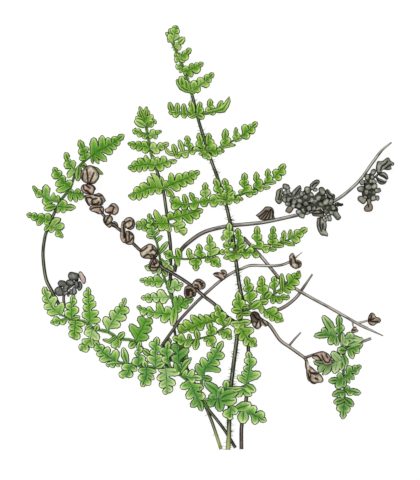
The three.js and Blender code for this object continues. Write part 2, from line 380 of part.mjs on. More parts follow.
const MIDDLE_STEMS = [
  [[[-16.9, -55.6, 0.85], [-18.8, -48, 0.8], [-19.4, -43, 0.84], [-19.1, -37, 1.75], [-20.3, -30.3, 2.4],
    [-22.9, -23, 2.5], [-25, -17, 2.5], [-26.2, -10.8, 2.4], [-27.8, -2.5, 2.5], [-29.9, 3, 2.8]],
      0.85, 0.55],
];
const ARCHING_STIPE = [[-75, -36.6, 0.65], [-77.4, -32, 0.65], [-80.4, -26.2, 0.65], [-83.4, -20, 0.65],
  [-84.8, -10.5, 0.65], [-84.8, -4.5, 0.7], [-83.8, 1.8, 0.9]];
const ARCHING_STEMS = [
  [[[-83.6, 2.4, 1], [-80.6, 10, 1.4], [-76, 19.2, 1.7], [-71.5, 25, 1.5], [-69.2, 31.5, 1.1],
    [-66.6, 36.6, 1],
    [-61.6, 41, 1], [-57, 44.2, 1]], 0.8, 0.55],
];
const LOWER_LEFT_STEMS = [
  [[[-18.5, -66.5, 0.75], [-25.5, -61.5, 0.75], [-33, -56.6, 0.8], [-40, -51, 0.9], [-47.8, -49.4, 1.1],
    [-52, -46.6, 1.3], [-59.5, -44.6, 1.5], [-64, -41.4, 1.8], [-70, -40, 2.1], [-75.6, -38, 2.3]],
      0.8, 0.55],
];
const FRONT_STIPE = [[11.2, -104.3, 0.8], [6.5, -96.5, 0.85], [2.5, -91, 1.4], [-0.5, -87.2, 2.5],
  [-2.2, -85, 2.95]];
const FRONT_STEMS = [
  [[[-2.6, -84.4, 3], [-6.5, -78.5, 3.1], [-10.5, -72.5, 3.1], [-16, -68, 3], [-23.4, -64.8, 2.9],
    [-30, -64.1, 2.8], [-37, -63.2, 2.7], [-45, -62, 2.4], [-50, -60.2, 2.2]], 0.85, 0.55],
  [[[-3, -83.6, 3], [0.5, -80.6, 3.2], [3, -79.4, 3.4], [6.8, -82, 3.5], [11, -84.8, 3.5],
    [15.5, -86.8, 3.3],
    [19, -87.3, 3.1]], 0.5, 0.35],
  [[[3, -79.4, 3.4], [5, -76, 3.5], [6.6, -74, 3.5], [10, -73.9, 3.4], [13.6, -74, 3.2],
    [16.6, -72.2, 3]], 0.5, 0.35],
  [[[-6.6, -78.2, 3.1], [-5.4, -69.5, 2.9], [-4, -64.8, 2.7], [-1, -61, 2.5]], 0.5, 0.35],
];
const RIGHT_STEMS = [
  [[[79, -49.7, 0.7], [74.8, -51.2, 0.7], [70, -52.6, 0.7], [66.6, -54.4, 0.7], [65, -59.6, 0.7],
    [65.3, -69, 0.7],
    [65.6, -76, 0.7], [65.6, -82, 0.8]], 0.75, 0.55],
  [[[66.6, -54.6, 0.7], [65, -51, 0.8], [61.4, -48.4, 0.9]], 0.5, 0.4],
];

// Dry stalks, rolled-up dry blades and small dry lobes. A roll is [x, y, height of its axis,
// direction in degrees, length, radius, flattening, 1 where it stands on end].
const CURLED_STEMS = [
  [[[14.2, -105, 0.7], [14.2, -95, 0.6], [15, -89.5, 0.6], [16.6, -80, 0.55], [17.5, -62, 0.55],
    [17.6, -51, 0.6],
    [17, -45.5, 0.7], [12.5, -42.2, 0.9], [7.3, -39, 1.1], [1, -32.8, 1.7], [-4.4, -28.6, 2.2],
      [-9, -24.6, 2.6],
    [-14.5, -20.6, 3], [-21, -16.6, 3.7], [-24.9, -14.4, 4.3], [-28, -11.4, 4.4], [-33, -8, 4.5],
      [-36.5, -5.4, 4.2],
    [-41, -1, 3.4], [-46, 4.2, 2.6], [-51, 8, 2.4], [-55.5, 13, 2.4], [-60, 19, 2.8], [-62, 26, 3.3],
      [-61.6, 30.4, 4]], 1, 0.8],
  [[[-52.6, 10.6, 2.5], [-50.8, 13, 2.5], [-49.6, 15.6, 2.5]], 0.55, 0.5],
];
const CURLED_ROLLS = [
  [-61.2, 32.2, 4.8, 0, 9.2, 4.7, 0.62, 0],
  [-62.2, 25.2, 3.4, -28, 7.4, 2.6, 0.8, 0],
  [-57.2, 20.6, 2.9, -48, 6.8, 2.5, 0.75, 0],
  [-61.8, 19, 2.9, 112, 7.2, 1.9, 0.9, 0],
  [-58.3, 15.2, 2.6, -8, 7, 2.1, 0.85, 0],
  [-51, 15.3, 2.5, 28, 5.6, 1.7, 0.9, 0],
  [-48.7, 14.6, 2.4, 78, 5.2, 2, 0.9, 0],
  [-52.6, 9.2, 2.5, 80, 6, 2.3, 0.85, 0],
  [-48.8, 7.4, 2.4, 150, 4.4, 1.6, 0.9, 0],
  [-42.5, 7.8, 3.1, 24, 7.4, 3.6, 0.7, 0],
  [-43, 0.6, 3, 100, 8, 3, 0.75, 0],
  [-32.2, -6, 5.6, 28, 9.4, 3.8, 0.55, 0],
  [-29.7, -13.1, 5.4, 62, 6.8, 3.2, 0.6, 0],
  [-11.4, -26, 3.8, 200, 3, 3.9, 1, 1],
  [-7, -22.3, 2.8, 229, 3.2, 3.1, 1, 1],
];
const BEADED_STEMS = [
  [[[-19.4, -16.4, 1], [-18.4, -12.5, 1], [-16, -5.6, 1], [-10, 0, 1], [-4, 3.6, 1], [4, 5.8, 1],
    [10.5, 6.8, 1],
    [23.5, 8.1, 0.8], [32.5, 9.8, 0.7], [41.5, 11.8, 0.8], [47.5, 13.2, 1], [54, 15.6, 1.3],
      [61, 19.2, 1],
    [66.5, 23, 0.7], [73.5, 29.6, 0.6], [79.3, 37.6, 0.6], [84.5, 44.4, 0.5], [89.3, 48.3, 0.45]],
      0.92, 0.6],
  [[[54, 15.6, 1.4], [50, 18.6, 1.6], [45, 18.8, 1.6], [40, 20.4, 1.6], [36.6, 20, 1.6],
    [34, 21.6, 1.5]], 0.6, 0.5],
  [[[47.6, 18.8, 1.6], [48.4, 23.6, 1.5], [50.6, 27.6, 1.4]], 0.5, 0.4],
  [[[54, 15.6, 1.4], [56, 20, 1.5], [57.4, 22.6, 1.4]], 0.6, 0.5],
  [[[54, 15.6, 1.4], [55, 12, 1.5], [52.6, 7, 1.5]], 0.6, 0.5],
  [[[55, 15.4, 1.4], [60, 14.6, 1.4], [61.6, 12, 1.3]], 0.6, 0.5],
  [[[75.6, 31.8, 0.7], [77.8, 29.8, 1.2], [78, 22, 1.4], [77.6, 17, 1.3]], 0.7, 0.5],
  [[[76.8, 29.4, 1.2], [81.6, 31.4, 1.5], [83.4, 34.4, 1.7], [84.4, 37, 1.9]], 0.7, 0.5],
  [[[81.2, 31.2, 1.5], [83.4, 29.4, 1.8]], 0.5, 0.5],
];
const BEADED_ROLLS = [
  [26, 10.6, 1.5, 8, 9, 3.3, 0.66, 0],
  [33, 21.8, 2, 96, 8.2, 1.9, 0.9, 0],
  [52.6, 13, 2.4, -4, 7, 1.7, 0.9, 0],
  [53.3, 6.2, 1.9, 92, 9.4, 1.6, 0.95, 0],
  [55.6, 4.6, 1.7, 98, 6, 1.5, 0.9, 0],
  [85.7, 37.7, 2.2, 8, 8.2, 3, 0.6, 0],
  [84.7, 32, 1.9, -12, 5.6, 1.6, 0.9, 0],
  [84.1, 28.7, 1.9, -10, 5.2, 1.7, 0.9, 0],
];
// Dry lobes as [x, y, radius], or with a second end [x, y, radius, x2, y2].
const BEADS = [
  [36.7, 24.6, 1.6, 36.8, 26], [37.6, 22.5, 1.3], [35.9, 22.4, 1.2], [36.8, 17.4, 1.5], [38.4, 15.2, 1.6],
  [38.3, 20.2, 1.4], [40.4, 18.4, 1.5], [39.6, 16.4, 1.2], [40.2, 23.2, 1.1, 43.2, 26.2],
    [41.3, 21.2, 1.4],
  [43.8, 22.2, 1.3], [43.4, 19.4, 1.5], [45.9, 21.2, 1.3], [42.2, 16.2, 1.5], [43.6, 13.8, 1.4],
    [44.1, 12.1, 1.4],
  [45.4, 15, 1.3], [47.6, 15.6, 1.5], [46.6, 18, 1.5], [48.5, 20, 1.4], [50.4, 19, 1.6],
    [46.8, 24.6, 1.5, 47.2, 25.3],
  [50, 27.6, 1.3, 52.2, 29], [50.7, 24.9, 1.1], [48.6, 22.6, 1.2], [52.6, 20.6, 1.5], [54.4, 24.2, 1.9],
  [57.2, 22.3, 1.3, 56.8, 24], [59.4, 21.5, 1.5], [56, 18.4, 1.9], [53, 17.8, 1.6], [59, 19, 1.3],
    [57, 14.6, 1.9],
  [59.6, 14.6, 1.7], [61.6, 17.2, 1, 63.8, 17.1], [61.6, 11.7, 1.8], [58.4, 10.2, 1.3], [56.4, 11.8, 1.4],
  [76.8, 32.4, 1.3], [79.8, 33, 1.5], [74.6, 28.6, 1.6], [76.9, 28.4, 1.3], [79.2, 29.2, 1.4],
    [80.8, 27, 1.6],
  [73.9, 24.6, 1.7], [76.6, 25.4, 1.4], [81.6, 24.4, 1.7], [79.5, 24.6, 1.3], [74.6, 20.4, 2.1],
    [80.8, 20.6, 2],
  [77.8, 21.4, 1.6], [77.5, 15.9, 2.1],
];
const WITHERED_STEMS = [
  [[[-74.2, -34, 0.7], [-74.6, -29, 0.75], [-73, -25.4, 0.8], [-70, -23, 0.9], [-67.2, -20, 1]],
    0.8, 0.5],
];
const WITHERED_BEADS = [
  [-76.8, -26.2, 2], [-75.2, -22.8, 1.9], [-72.8, -22.2, 1.6], [-73.8, -26, 1.4], [-70, -19, 2.2],
    [-67.6, -21, 1.6],
  [-72.4, -26.8, 1, -72.5, -28.2], [-70.6, -25.4, 1.3, -70.4, -26.2], [-66.8, -23.4, 1.3, -66.6, -24.8],
  [-66.2, -17.6, 1.2, -64.8, -20.8],
];
const CROSSING_STEMS = [
  [[[-25.6, -53.4, 1.65], [-24, -51, 1.78], [-19.6, -44.8, 2.95], [-16.7, -40.6, 2.65], [-12, -35.4, 1.8],
    [-6, -29.4, 0.75], [4, -20.6, 0.55], [10.3, -16.5, 0.6], [14, -15, 0.8], [19, -13.2, 1.3],
      [28, -13.4, 2],
    [34, -13, 1.8], [38.4, -11.4, 1.7]], 0.82, 0.68],
  [[[5.4, -19.4, 0.6], [4.6, -18, 1]], 0.5, 0.5],
  [[[40.6, -10, 1.8], [42, -8.6, 1.8], [44.6, -6.5, 1.7]], 0.5, 0.3],
];
const CROSSING_ROLLS = [
  [39.5, -9.3, 1.9, 68, 4.8, 1.6, 1, 0],
  [41.2, -11.9, 1.9, -26, 5.8, 2, 0.85, 0],
  [2.7, -18, 1.5, -14, 5.4, 1.4, 0.95, 0],
  [5.1, -16.8, 1.5, -62, 3.6, 1.3, 0.95, 0],
];
const FORKED_STEMS = [
  [[[19.6, -38, 0.9], [24, -40.4, 0.9], [28.2, -43, 0.7], [33.4, -50.4, 0.6], [38, -53.8, 0.6],
    [43, -57.4, 0.7],
    [46.4, -60.2, 0.8], [46.8, -64, 1], [48.6, -68, 1.3]], 0.92, 0.8],
  [[[37.8, -53.6, 0.6], [40.4, -50.4, 0.8], [43.9, -46.6, 1]], 0.62, 0.4],
  [[[45.2, -59.4, 0.8], [47.4, -58.8, 1.3], [50.4, -57.6, 2.2]], 0.8, 0.7],
];
const FORKED_ROLLS = [
  [23.6, -40.5, 1.35, -32, 10.4, 3, 0.36, 0],
  [54.6, -59.4, 3.4, -32, 11, 2.9, 0.66, 0],
  [48.9, -65.4, 1.9, -62, 8, 2.2, 0.8, 0],
  [51.6, -69.2, 2, -18, 7.2, 2.7, 0.72, 0],
];
const DIAGONAL_STEMS = [
  [[[15.2, 0.8, 0.9], [19.5, -4, 0.7], [22.5, -7, 0.6], [27.8, -13.2, 0.6], [33, -19.4, 1.1],
    [37.5, -22.8, 1.4],
    [41.5, -25, 1.6], [44.5, -26.8, 1.75], [51, -30.4, 1.7], [57, -33.6, 1.8], [63, -37, 1.8],
      [69.5, -40.7, 1.2],
    [73.5, -43, 0.8], [79, -45.6, 0.5], [85, -48.4, 0.4]], 0.78, 0.6],
  [[[69.6, -40.8, 1.2], [70, -43.4, 1.1], [70.6, -45, 1.1]], 0.5, 0.4],
  [[[72, -42, 1], [75, -41.4, 1.3], [79, -40.2, 1.8]], 0.55, 0.5],
];
const DIAGONAL_ROLLS = [
  [70.8, -45.3, 1.2, 0, 4, 1.2, 0.9, 0],
  [79.6, -40, 1.9, 82, 6.8, 2.7, 0.66, 0],
  [82, -40.2, 1.6, 20, 3.6, 1.3, 0.9, 0],
];
const SHORT_STEMS = [
  [[[27.6, -36, 0.45], [32.4, -35.4, 0.4], [36.8, -33.2, 0.4], [41.8, -29, 0.4], [45.2, -24.2, 0.4],
    [49.7, -17.6, 0.4]],
    0.85, 0.62],
];

// Finishes: colour and roughness of fresh stalks and blades and of withered ones.
const DARK_STALK = ['#454936', 0.5];
const DEEP_GREEN = ['#5f8f2e', 0.55];
const GREEN = ['#78a83a', 0.55];
const FRESH_GREEN = ['#86b544', 0.55];
const DRY_BROWN = ['#75665a', 0.8];
const DRY_GREY = ['#5d5c52', 0.8];

const kit = await Module();
kit.setup();
const { Manifold, Mesh } = kit;

const toSolid = (geometry) => {
  const flat = geometry.index ? geometry.toNonIndexed() : geometry;
  const points = Float32Array.from(flat.getAttribute('position').array);
  const triangles = Uint32Array.from({ length: points.length / 3 }, (_, i) => i);
  const mesh = new Mesh({ numProp: 3, vertProperties: points, triVerts: triangles });
  mesh.merge();
  return Manifold.ofMesh(mesh);
};

const toGeometry = (solid) => {
  const mesh = solid.getMesh();
  const geometry = new THREE.BufferGeometry();
  geometry.setAttribute('position', new THREE.BufferAttribute(Float32Array.from(mesh.vertProperties), 3));
  geometry.setIndex(new THREE.BufferAttribute(Uint32Array.from(mesh.triVerts), 1));
  const faceted = geometry.toNonIndexed();
  faceted.computeVertexNormals();
  return faceted;
};

const moveVertices = (geometry, rule) => {
  const pos = geometry.getAttribute('position');
  for (let i = 0; i < pos.count; i += 1) {
    pos.setXYZ(i, ...rule(pos.getX(i), pos.getY(i), pos.getZ(i)));
  }
  return geometry;
};

// A stalk swept along its points, oval in section and tapered from one radius to the other.
const stalk = ([points, first, last], sides = STEM_SIDES) => {
  const route = new THREE.CatmullRomCurve3(points.map((p) => new THREE.Vector3(...p)), false, 'centripetal');
  const steps = Math.max(1, Math.min(points.length - 1, Math.ceil(route.getLength() / STEM_STEP)));
  const ring = new THREE.Shape(Array.from({ length: sides }, (_, i) => {
    const a = (i + 0.5) * Math.PI * 2 / sides;
    return new THREE.Vector2(Math.cos(a) * CORE, Math.sin(a) * CORE);
  }));
  const geometry = new THREE.ExtrudeGeometry(ring, { steps, extrudePath: route, bevelEnabled: false });
  const centres = route.getSpacedPoints(steps);
  return toSolid(moveVertices(geometry, (x, y, z) => {
    const here = new THREE.Vector3(x, y, z);
    const away = centres.map((c) => c.distanceTo(here));
    const near = away.indexOf(Math.min(...away));
    const radius = first + (last - first) * near / steps;
    const grown = here.sub(centres[near]).multiplyScalar(radius / CORE);
    return [centres[near].x + grown.x, centres[near].y + grown.y, centres[near].z + grown.z * STALK_FLAT];
  }));
};

// The point of the stalks nearest to x, y: its distance, height and place.
const nearestStalk = (stems, x, y) => {
  let best = [Infinity];
  for (const [points] of stems) {
    for (let i = 1; i < points.length; i += 1) {
      const [ax, ay, az] = points[i - 1];
      const [bx, by, bz] = points[i];
      const span = (bx - ax) ** 2 + (by - ay) ** 2;
      const t = THREE.MathUtils.clamp(((x - ax) * (bx - ax) + (y - ay) * (by - ay)) / span, 0, 1);
      const at = [ax + (bx - ax) * t, ay + (by - ay) * t];
      const gap = Math.hypot(x - at[0], y - at[1]);
      if (gap < best[0]) best = [gap, az + (bz - az) * t, ...at];
    }
  }
  return best;
};

// A rib as a polyline: along(x, y) gives the distance from the root and the signed distance
// to its left, and place(s, d) is the reverse.
const ribLine = (p) => {
  const start = [0];
  const way = [];
  for (let i = 1; i < p.length; i += 1) {
    const dx = p[i][0] - p[i - 1][0];
    const dy = p[i][1] - p[i - 1][1];
    const len = Math.hypot(dx, dy);
    start.push(start[i - 1] + len);
    way.push([dx / len, dy / len]);
  }
  const length = start[start.length - 1];
  const along = (x, y) => {
    let best = [Infinity, 0, 0];
    way.forEach(([ux, uy], i) => {
      const ax = x - p[i][0];
      const ay = y - p[i][1];
      const s = THREE.MathUtils.clamp(ax * ux + ay * uy, 0, start[i + 1] - start[i]);
      const gap = Math.hypot(ax - ux * s, ay - uy * s);
      const side = Math.sign(ux * ay - uy * ax) || 1;
      if (gap < best[0] - 1e-9) best = [gap, start[i] + s, side * gap];
    });
    return [best[1], best[2]];
  };
  const place = (s, d) => {
    let i = 0;
    while (i < way.length - 1 && s > start[i + 1]) i += 1;
    const t = (s - start[i]) / (start[i + 1] - start[i]);
    const other = way[Math.min(way.length - 1, Math.max(0, t < 0.5 ? i - 1 : i + 1))];
    const w = Math.abs(t - 0.5);
    const ux = way[i][0] * (1 - w) + other[0] * w;
    const uy = way[i][1] * (1 - w) + other[1] * w;
    const n = Math.hypot(ux, uy);
    const on = s - start[i];
    return [p[i][0] + way[i][0] * on - uy * d / n, p[i][1] + way[i][1] * on + ux * d / n];
  };
  return { length, along, place };
};

const pairs = (flat) => Array.from({ length: flat.length / 2 }, (_, i) => [flat[2 * i], flat[2 * i + 1]]);

// Outline of a side stalk that lies in the sheet of its leaves.
const stripRing = ([points, first, last]) => {
  const rib = ribLine(points);
  const edge = (side) => points.map(([x, y, z], i) => {
    const [s] = rib.along(x, y);
    const half = first + (last - first) * i / (points.length - 1);
    return [...rib.place(s, side * half), z];
  });
  return [...edge(1), ...edge(-1).reverse()];
};

// Cuts off the small knots that an outline makes where it crosses itself.
const untangle = (ring) => {
  const kept = [...ring];
  for (let i = 0; i < kept.length; i += 1) {
    for (let j = i + 2; j < Math.min(kept.length - 1, i + 6); j += 1) {
      const [[ax, ay, az], [bx, by], [cx, cy], [dx, dy]] = [kept[i], kept[i + 1], kept[j], kept[j + 1]];
      const turn = (bx - ax) * (dy - cy) - (by - ay) * (dx - cx);
      const t = ((cx - ax) * (dy - cy) - (cy - ay) * (dx - cx)) / turn;
      const u = ((cx - ax) * (by - ay) - (cy - ay) * (bx - ax)) / turn;
      if (t > 0 && t < 1 && u > 0 && u < 1) {
        kept.splice(i + 1, j - i, [ax + (bx - ax) * t, ay + (by - ay) * t, az]);
      }
    }
  }
  return kept;
};

// Outline of one leaf as points [x, y, height]: lobes on both sides cut down to the rib, then
// the end lobe. A leaf that starts off its stalk gets a short stalk of its own, and its rib may
// carry later leaves as a stalk does.
const leafRings = ([flat, tips, endWidth, lift = 0], stems) => {
  const line = pairs(flat);
  const [gap, foot, footX, footY] = nearestStalk(stems, ...line[0]);
  const rib = ribLine(line);
  const sides = [[], []];
  for (const [x, y] of pairs(tips)) {
    const [s, d] = rib.along(x, y);
    const reach = Math.abs(d);
    const [nearest, farthest] = [LEAF.firstLobe * rib.length, LEAF.lastLobe * rib.length];
    const root = THREE.MathUtils.clamp(s - LEAN * reach, nearest, farthest);
    sides[d > 0 ? 0 : 1].push({ root, tip: s, reach });
  }
  const last = Math.max(0, ...sides.flat().map((l) => l.root));
  const usual = THREE.MathUtils.clamp((rib.length - last) * LEAF.endShape, LEAF.endLeast, LEAF.endMost);
  const end = (endWidth || usual) / 2;
  const halves = sides.map((lobes) => {
    lobes.sort((a, b) => a.root - b.root || a.tip - b.tip);
    const axis = (l, d) => l.root + (l.tip - l.root) * d / l.reach;
    const half = [[0, NECK]];
    let from = 0;
    lobes.forEach((l, i) => {
      const after = lobes[i + 1];
      const level = l.reach * LEAF.widestAt;
      const middle = axis(l, level);
      const widest = Math.min(LOBE_MAX, LEAF.lobeShape * l.reach + LEAF.lobeLeast);
      const share = (room) => Math.min(widest, Math.max(LEAF.narrowest, room * LEAF.fill));
      const back = share(i ? middle - axis(lobes[i - 1], level) : 2 * middle + NECK);
      const fore = share(after ? axis(after, level) - middle : Infinity);
      if (l.reach < SMALL_LOBE) {
        half.push([Math.max(from, l.tip - back * LEAF.smallTip), l.reach]);
      } else {
        half.push([Math.max(0, middle - back), level]);
        if (l.reach > LARGE_LOBE) half.push([l.tip, l.reach]);
        half.push([middle + fore, l.reach > LARGE_LOBE ? level : l.reach * LEAF.bluntAt]);
      }
      const deep = Math.min(l.reach, after ? after.reach : 2 * end) * LEAF.notch;
      const cut = after ? (axis(l, deep) + axis(after, deep)) / 2 : axis(l, deep) + fore * LEAF.lastNotch;
      from = Math.min(cut, rib.length - LEAF.endRoom);
      half.push([from, deep]);
    });
    const left = rib.length - from;
    half.push([from + left * LEAF.endWidestAt, end]);
    if (left > LONG_END) half.push([from + left * LEAF.endBluntAt, end * LEAF.endBlunt]);
    return half;
  });
  const heightOf = (s, d) => {
    const t = s / rib.length;
    const level = foot - SINK * s + lift * t + CROWN * 4 * t * (1 - t) - DROOP * Math.abs(d);
    return Math.max(level, LOWEST);
  };
  const around = [...halves[0], [rib.length, 0], ...halves[1].map(([s, d]) => [s, -d]).reverse()];
  const leaf = untangle(around.map(([s, d]) => [...rib.place(s, d), heightOf(s, d)]));
  const ownStalk = stripRing([[[footX, footY, foot], [...rib.place(NECK, 0), foot]], NECK, NECK]);
  stems.push([line.map(([x, y]) => [x, y, heightOf(...rib.along(x, y))])]);
  return gap > NECK / 2 ? [leaf, ownStalk] : [leaf];
};

// Boundary loops of the faces that look up at the top of a flat sheet.
const loopsOf = (sheet) => {
  const { vertProperties: v, triVerts: t } = sheet.getMesh();
  const edges = new Map();
  for (let i = 0; i < t.length; i += 3) {
    const face = [t[i], t[i + 1], t[i + 2]];
    if (face.every((k) => v[3 * k + 2] > SHEET_DEPTH / 2)) {
      face.forEach((a, j) => {
        const b = face[(j + 1) % 3];
        if (!edges.delete(`${b} ${a}`)) edges.set(`${a} ${b}`, [a, b]);
      });
    }
  }
  const next = new Map([...edges.values()]);
  const loops = [];
  while (next.size) {
    const loop = [];
    let at = next.keys().next().value;
    while (next.has(at)) {
      const to = next.get(at);
      next.delete(at);
      loop.push([v[3 * at], v[3 * at + 1]]);
      at = to;
    }
    loops.push(loop);
  }
  return loops;
};

const areaOf = (loop) => THREE.ShapeUtils.area(loop.map(([x, y]) => new THREE.Vector2(x, y)));

const insideOf = (loop, [x, y]) => loop.reduce((odd, [ax, ay], i) => {
  const [bx, by] = loop[(i + 1) % loop.length];
  const crosses = (ay > y) !== (by > y) && x < ax + (bx - ax) * (y - ay) / (by - ay);
  return crosses ? !odd : odd;
}, false);

// Leaves out points that lie too close together or on a straight stretch.
const tidyLoop = (loop) => {
  const kept = [...loop];
  let found = true;
  while (found && kept.length > 4) {
    found = false;
    for (let i = 0; i < kept.length; i += 1) {
      const [ax, ay] = kept[(i + kept.length - 1) % kept.length];
      const [bx, by] = kept[i];
      const [cx, cy] = kept[(i + 1) % kept.length];
      const twice = Math.abs((bx - ax) * (cy - ay) - (by - ay) * (cx - ax));
      const off = twice / Math.max(0.01, Math.hypot(cx - ax, cy - ay));
      if (off < FINEST || Math.hypot(bx - ax, by - ay) < FINEST) {
        kept.splice(i, 1);
        found = true;
        break;
      }
    }
  }
  return kept;
};

// One thin arched sheet out of all outlines of a frond, joined in plan and then raised. It is
// thicker along the main stalk.
const sheetOf = (rings, stems) => {
  const flat = rings.map((ring) => toSolid(new THREE.ExtrudeGeometry(
    new THREE.Shape(ring.map(([x, y]) => new THREE.Vector2(x, y))),
    { depth: SHEET_DEPTH, bevelEnabled: false },
  )));
  const marks = rings.flat();
  const heightAt = (x, y) => {
    let sum = 0;
    let weight = 0;
    for (const [mx, my, mz] of marks) {
      const w = 1 / ((x - mx) ** 2 + (y - my) ** 2 + NEAREST) ** 2;
      sum += w * mz;
      weight += w;
    }
    return sum / weight;
  };
  const [[points, first, last]] = stems;
  const main = ribLine(points);
  const thickAt = (x, y) => {
    const [s, d] = main.along(x, y);
    const radius = first + (last - first) * s / main.length;
    return Math.abs(d) < radius + FINEST / 2 ? Math.max(BLADE, STALK_DEPTH * radius) : BLADE;
  };
  const loops = loopsOf(Manifold.union(flat)).map(tidyLoop);
  const outlines = loops.filter((loop) => areaOf(loop) > SCRAP);
  const gaps = loops.filter((loop) => areaOf(loop) < -SCRAP);
  return outlines.map((outline) => {
    const shape = new THREE.Shape(outline.map(([x, y]) => new THREE.Vector2(x, y)));
    const inside = gaps.filter(([at]) => insideOf(outline, at));
    shape.holes = inside.map((gap) => new THREE.Path(gap.map(([x, y]) => new THREE.Vector2(x, y))));
    const plate = new THREE.ExtrudeGeometry(shape, { depth: 1, bevelEnabled: false }).translate(0, 0, -0.5);
    return toSolid(moveVertices(plate, (x, y, z) => [x, y, z * thickAt(x, y) + heightAt(x, y)]));
  });
};

// A dry blade rolled up lengthwise: a ribbon bent into an open coil, narrower at its ends.
const roll = ([x, y, z, angle, length, radius, squash, upright]) => {
  const wide = radius > WIDE_ROLL;
  const wall = Math.min(ROLL_WALL, radius * ROLL_WALL_SHARE);
  const { turns, start, shrink } = upright ? ENROLLED : FOLDED;
  const parts = upright ? 8 : wide ? 5 : 3;
  const spoke = (i, inner) => {
    const a = (start + turns * i / parts) * Math.PI * 2;
    const r = radius * (1 - shrink * i / parts) - inner;
    return new THREE.Vector2(Math.cos(a) * r, Math.sin(a) * r);
  };
  const ring = [];
  for (let i = 0; i <= parts; i += 1) ring.push(spoke(i, 0));
  for (let i = parts; i >= 0; i -= 1) ring.push(spoke(i, wall));
  const steps = !upright && wide ? 2 : 1;
  const section = new THREE.Shape(ring);
  const coil = new THREE.ExtrudeGeometry(section, { depth: length, steps, bevelEnabled: false });
  const turned = THREE.MathUtils.degToRad(angle);
  const c = Math.cos(turned);
  const q = Math.sin(turned);
  return toSolid(moveVertices(coil, (u, v, w) => {
    const from = w / length - 0.5;
    const slim = steps === 1 ? 1 : 1 - ROLL_BARREL * from * from;
    const l = w - length / 2;
    if (upright) return [x + u * c - v * q, y + u * q + v * c, z + l];
    return [x + l * c - u * q * slim, y + l * q + u * c * slim, z + v * slim * squash];
  }));
};

// A small dry lobe: a drop that hangs by its point on the nearest stalk.
const bead = ([x, y, radius, x2 = x, y2 = y], stems) => {
  const [, height, footX, footY] = nearestStalk(stems, x, y);
  const farther = Math.hypot(x2 - footX, y2 - footY) > Math.hypot(x - footX, y - footY);
  const [farX, farY] = farther ? [x2, y2] : [x, y];
  const away = Math.hypot(farX - footX, farY - footY);
  const length = away + radius;
  const widest = Math.max(DROP.least * length, length - DROP.shoulder * radius);
  const profile = [[0, -ROOT], [radius, widest], [0, length]];
  const drop = new THREE.LatheGeometry(profile.map(([r, l]) => new THREE.Vector2(r, l)), BEAD_SIDES);
  drop.scale(1, 1, DROP.flat).rotateZ(Math.atan2(farY - footY, farX - footX) - Math.PI / 2);
  return toSolid(drop.translate(footX, footY, Math.max(height, radius * DROP.lowest)));
};

const part = new THREE.Group();
part.name = 'fern_fronds';
// What would lie below the floor is cut off flat.
const below = toSolid(new THREE.BoxGeometry(...BELOW).translate(0, 0, -BELOW[2] / 2));
const addNode = (name, [colour, roughness], solids) => {
  const whole = Manifold.union(solids).subtract(below);
  const material = new THREE.MeshStandardMaterial({ color: colour, roughness, metalness: 0 });
  const mesh = new THREE.Mesh(toGeometry(whole.translate(SHIFT)), material);
  mesh.name = name;
  part.add(mesh);
};
const frond = (rows, stems) => {
  const carriers = [...stems];
  const leaves = rows.flatMap((row) => leafRings(row, carriers));
  return sheetOf([...stems.map(stripRing), ...leaves], stems);
};
const curled = (stems, rolls) => [...stems.map((s) => stalk(s, DRY_SIDES)), ...rolls.map(roll)];
// Small dry lobes, without those that would only thicken a neighbour.
const beads = (rows, stems) => rows
  .filter(([x, y], i) => rows.slice(0, i).every(([a, b]) => Math.hypot(x - a, y - b) > BEAD_SPACE))
  .map((row) => bead(row, stems));

addNode('tall_frond_stipe', DARK_STALK, [stalk([TALL_STIPE, 1, 0.98])]);
addNode('tall_frond_blade', GREEN, frond(TALL, TALL_STEMS));
addNode('upper_left_frond_stipe', DARK_STALK, [stalk([UPPER_LEFT_STIPE, 0.8, 0.85])]);
addNode('upper_left_frond_blade', GREEN, frond(UPPER_LEFT, UPPER_LEFT_STEMS));
addNode('middle_frond_stipe', DARK_STALK, [stalk([MIDDLE_STIPE, 1, 0.85])]);
addNode('middle_frond_blade', FRESH_GREEN, frond(MIDDLE, MIDDLE_STEMS));
addNode('arching_frond_stipe', DARK_STALK, [stalk([ARCHING_STIPE, 0.6, 0.8])]);
addNode('arching_frond_blade', DEEP_GREEN, frond(ARCHING, ARCHING_STEMS));
addNode('lower_left_frond_blade', GREEN, frond(LOWER_LEFT, LOWER_LEFT_STEMS));
addNode('front_frond_stipe', DARK_STALK, [stalk([FRONT_STIPE, 1, 0.9])]);
addNode('front_frond_blade', GREEN, frond(FRONT, FRONT_STEMS));
addNode('right_frond_blade', DEEP_GREEN, frond(RIGHT, RIGHT_STEMS));
addNode('withered_pinna', DRY_GREY, [...curled(WITHERED_STEMS, []), ...beads(WITHERED_BEADS, WITHERED_STEMS)]);
addNode('dead_frond_curled', DRY_BROWN, curled(CURLED_STEMS, CURLED_ROLLS));
addNode('dead_frond_beaded', DRY_GREY, [...curled(BEADED_STEMS, BEADED_ROLLS), ...beads(BEADS, BEADED_STEMS)]);
addNode('dead_frond_crossing', DRY_BROWN, curled(CROSSING_STEMS, CROSSING_ROLLS));
addNode('dead_frond_forked', DRY_BROWN, curled(FORKED_STEMS, FORKED_ROLLS));
addNode('dead_frond_diagonal', DRY_BROWN, curled(DIAGONAL_STEMS, DIAGONAL_ROLLS));
addNode('dead_stalk_short', DRY_BROWN, curled(SHORT_STEMS, []));

export default part;
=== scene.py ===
import math
import random

import bmesh
import bpy
from mathutils import Matrix, Vector, noise


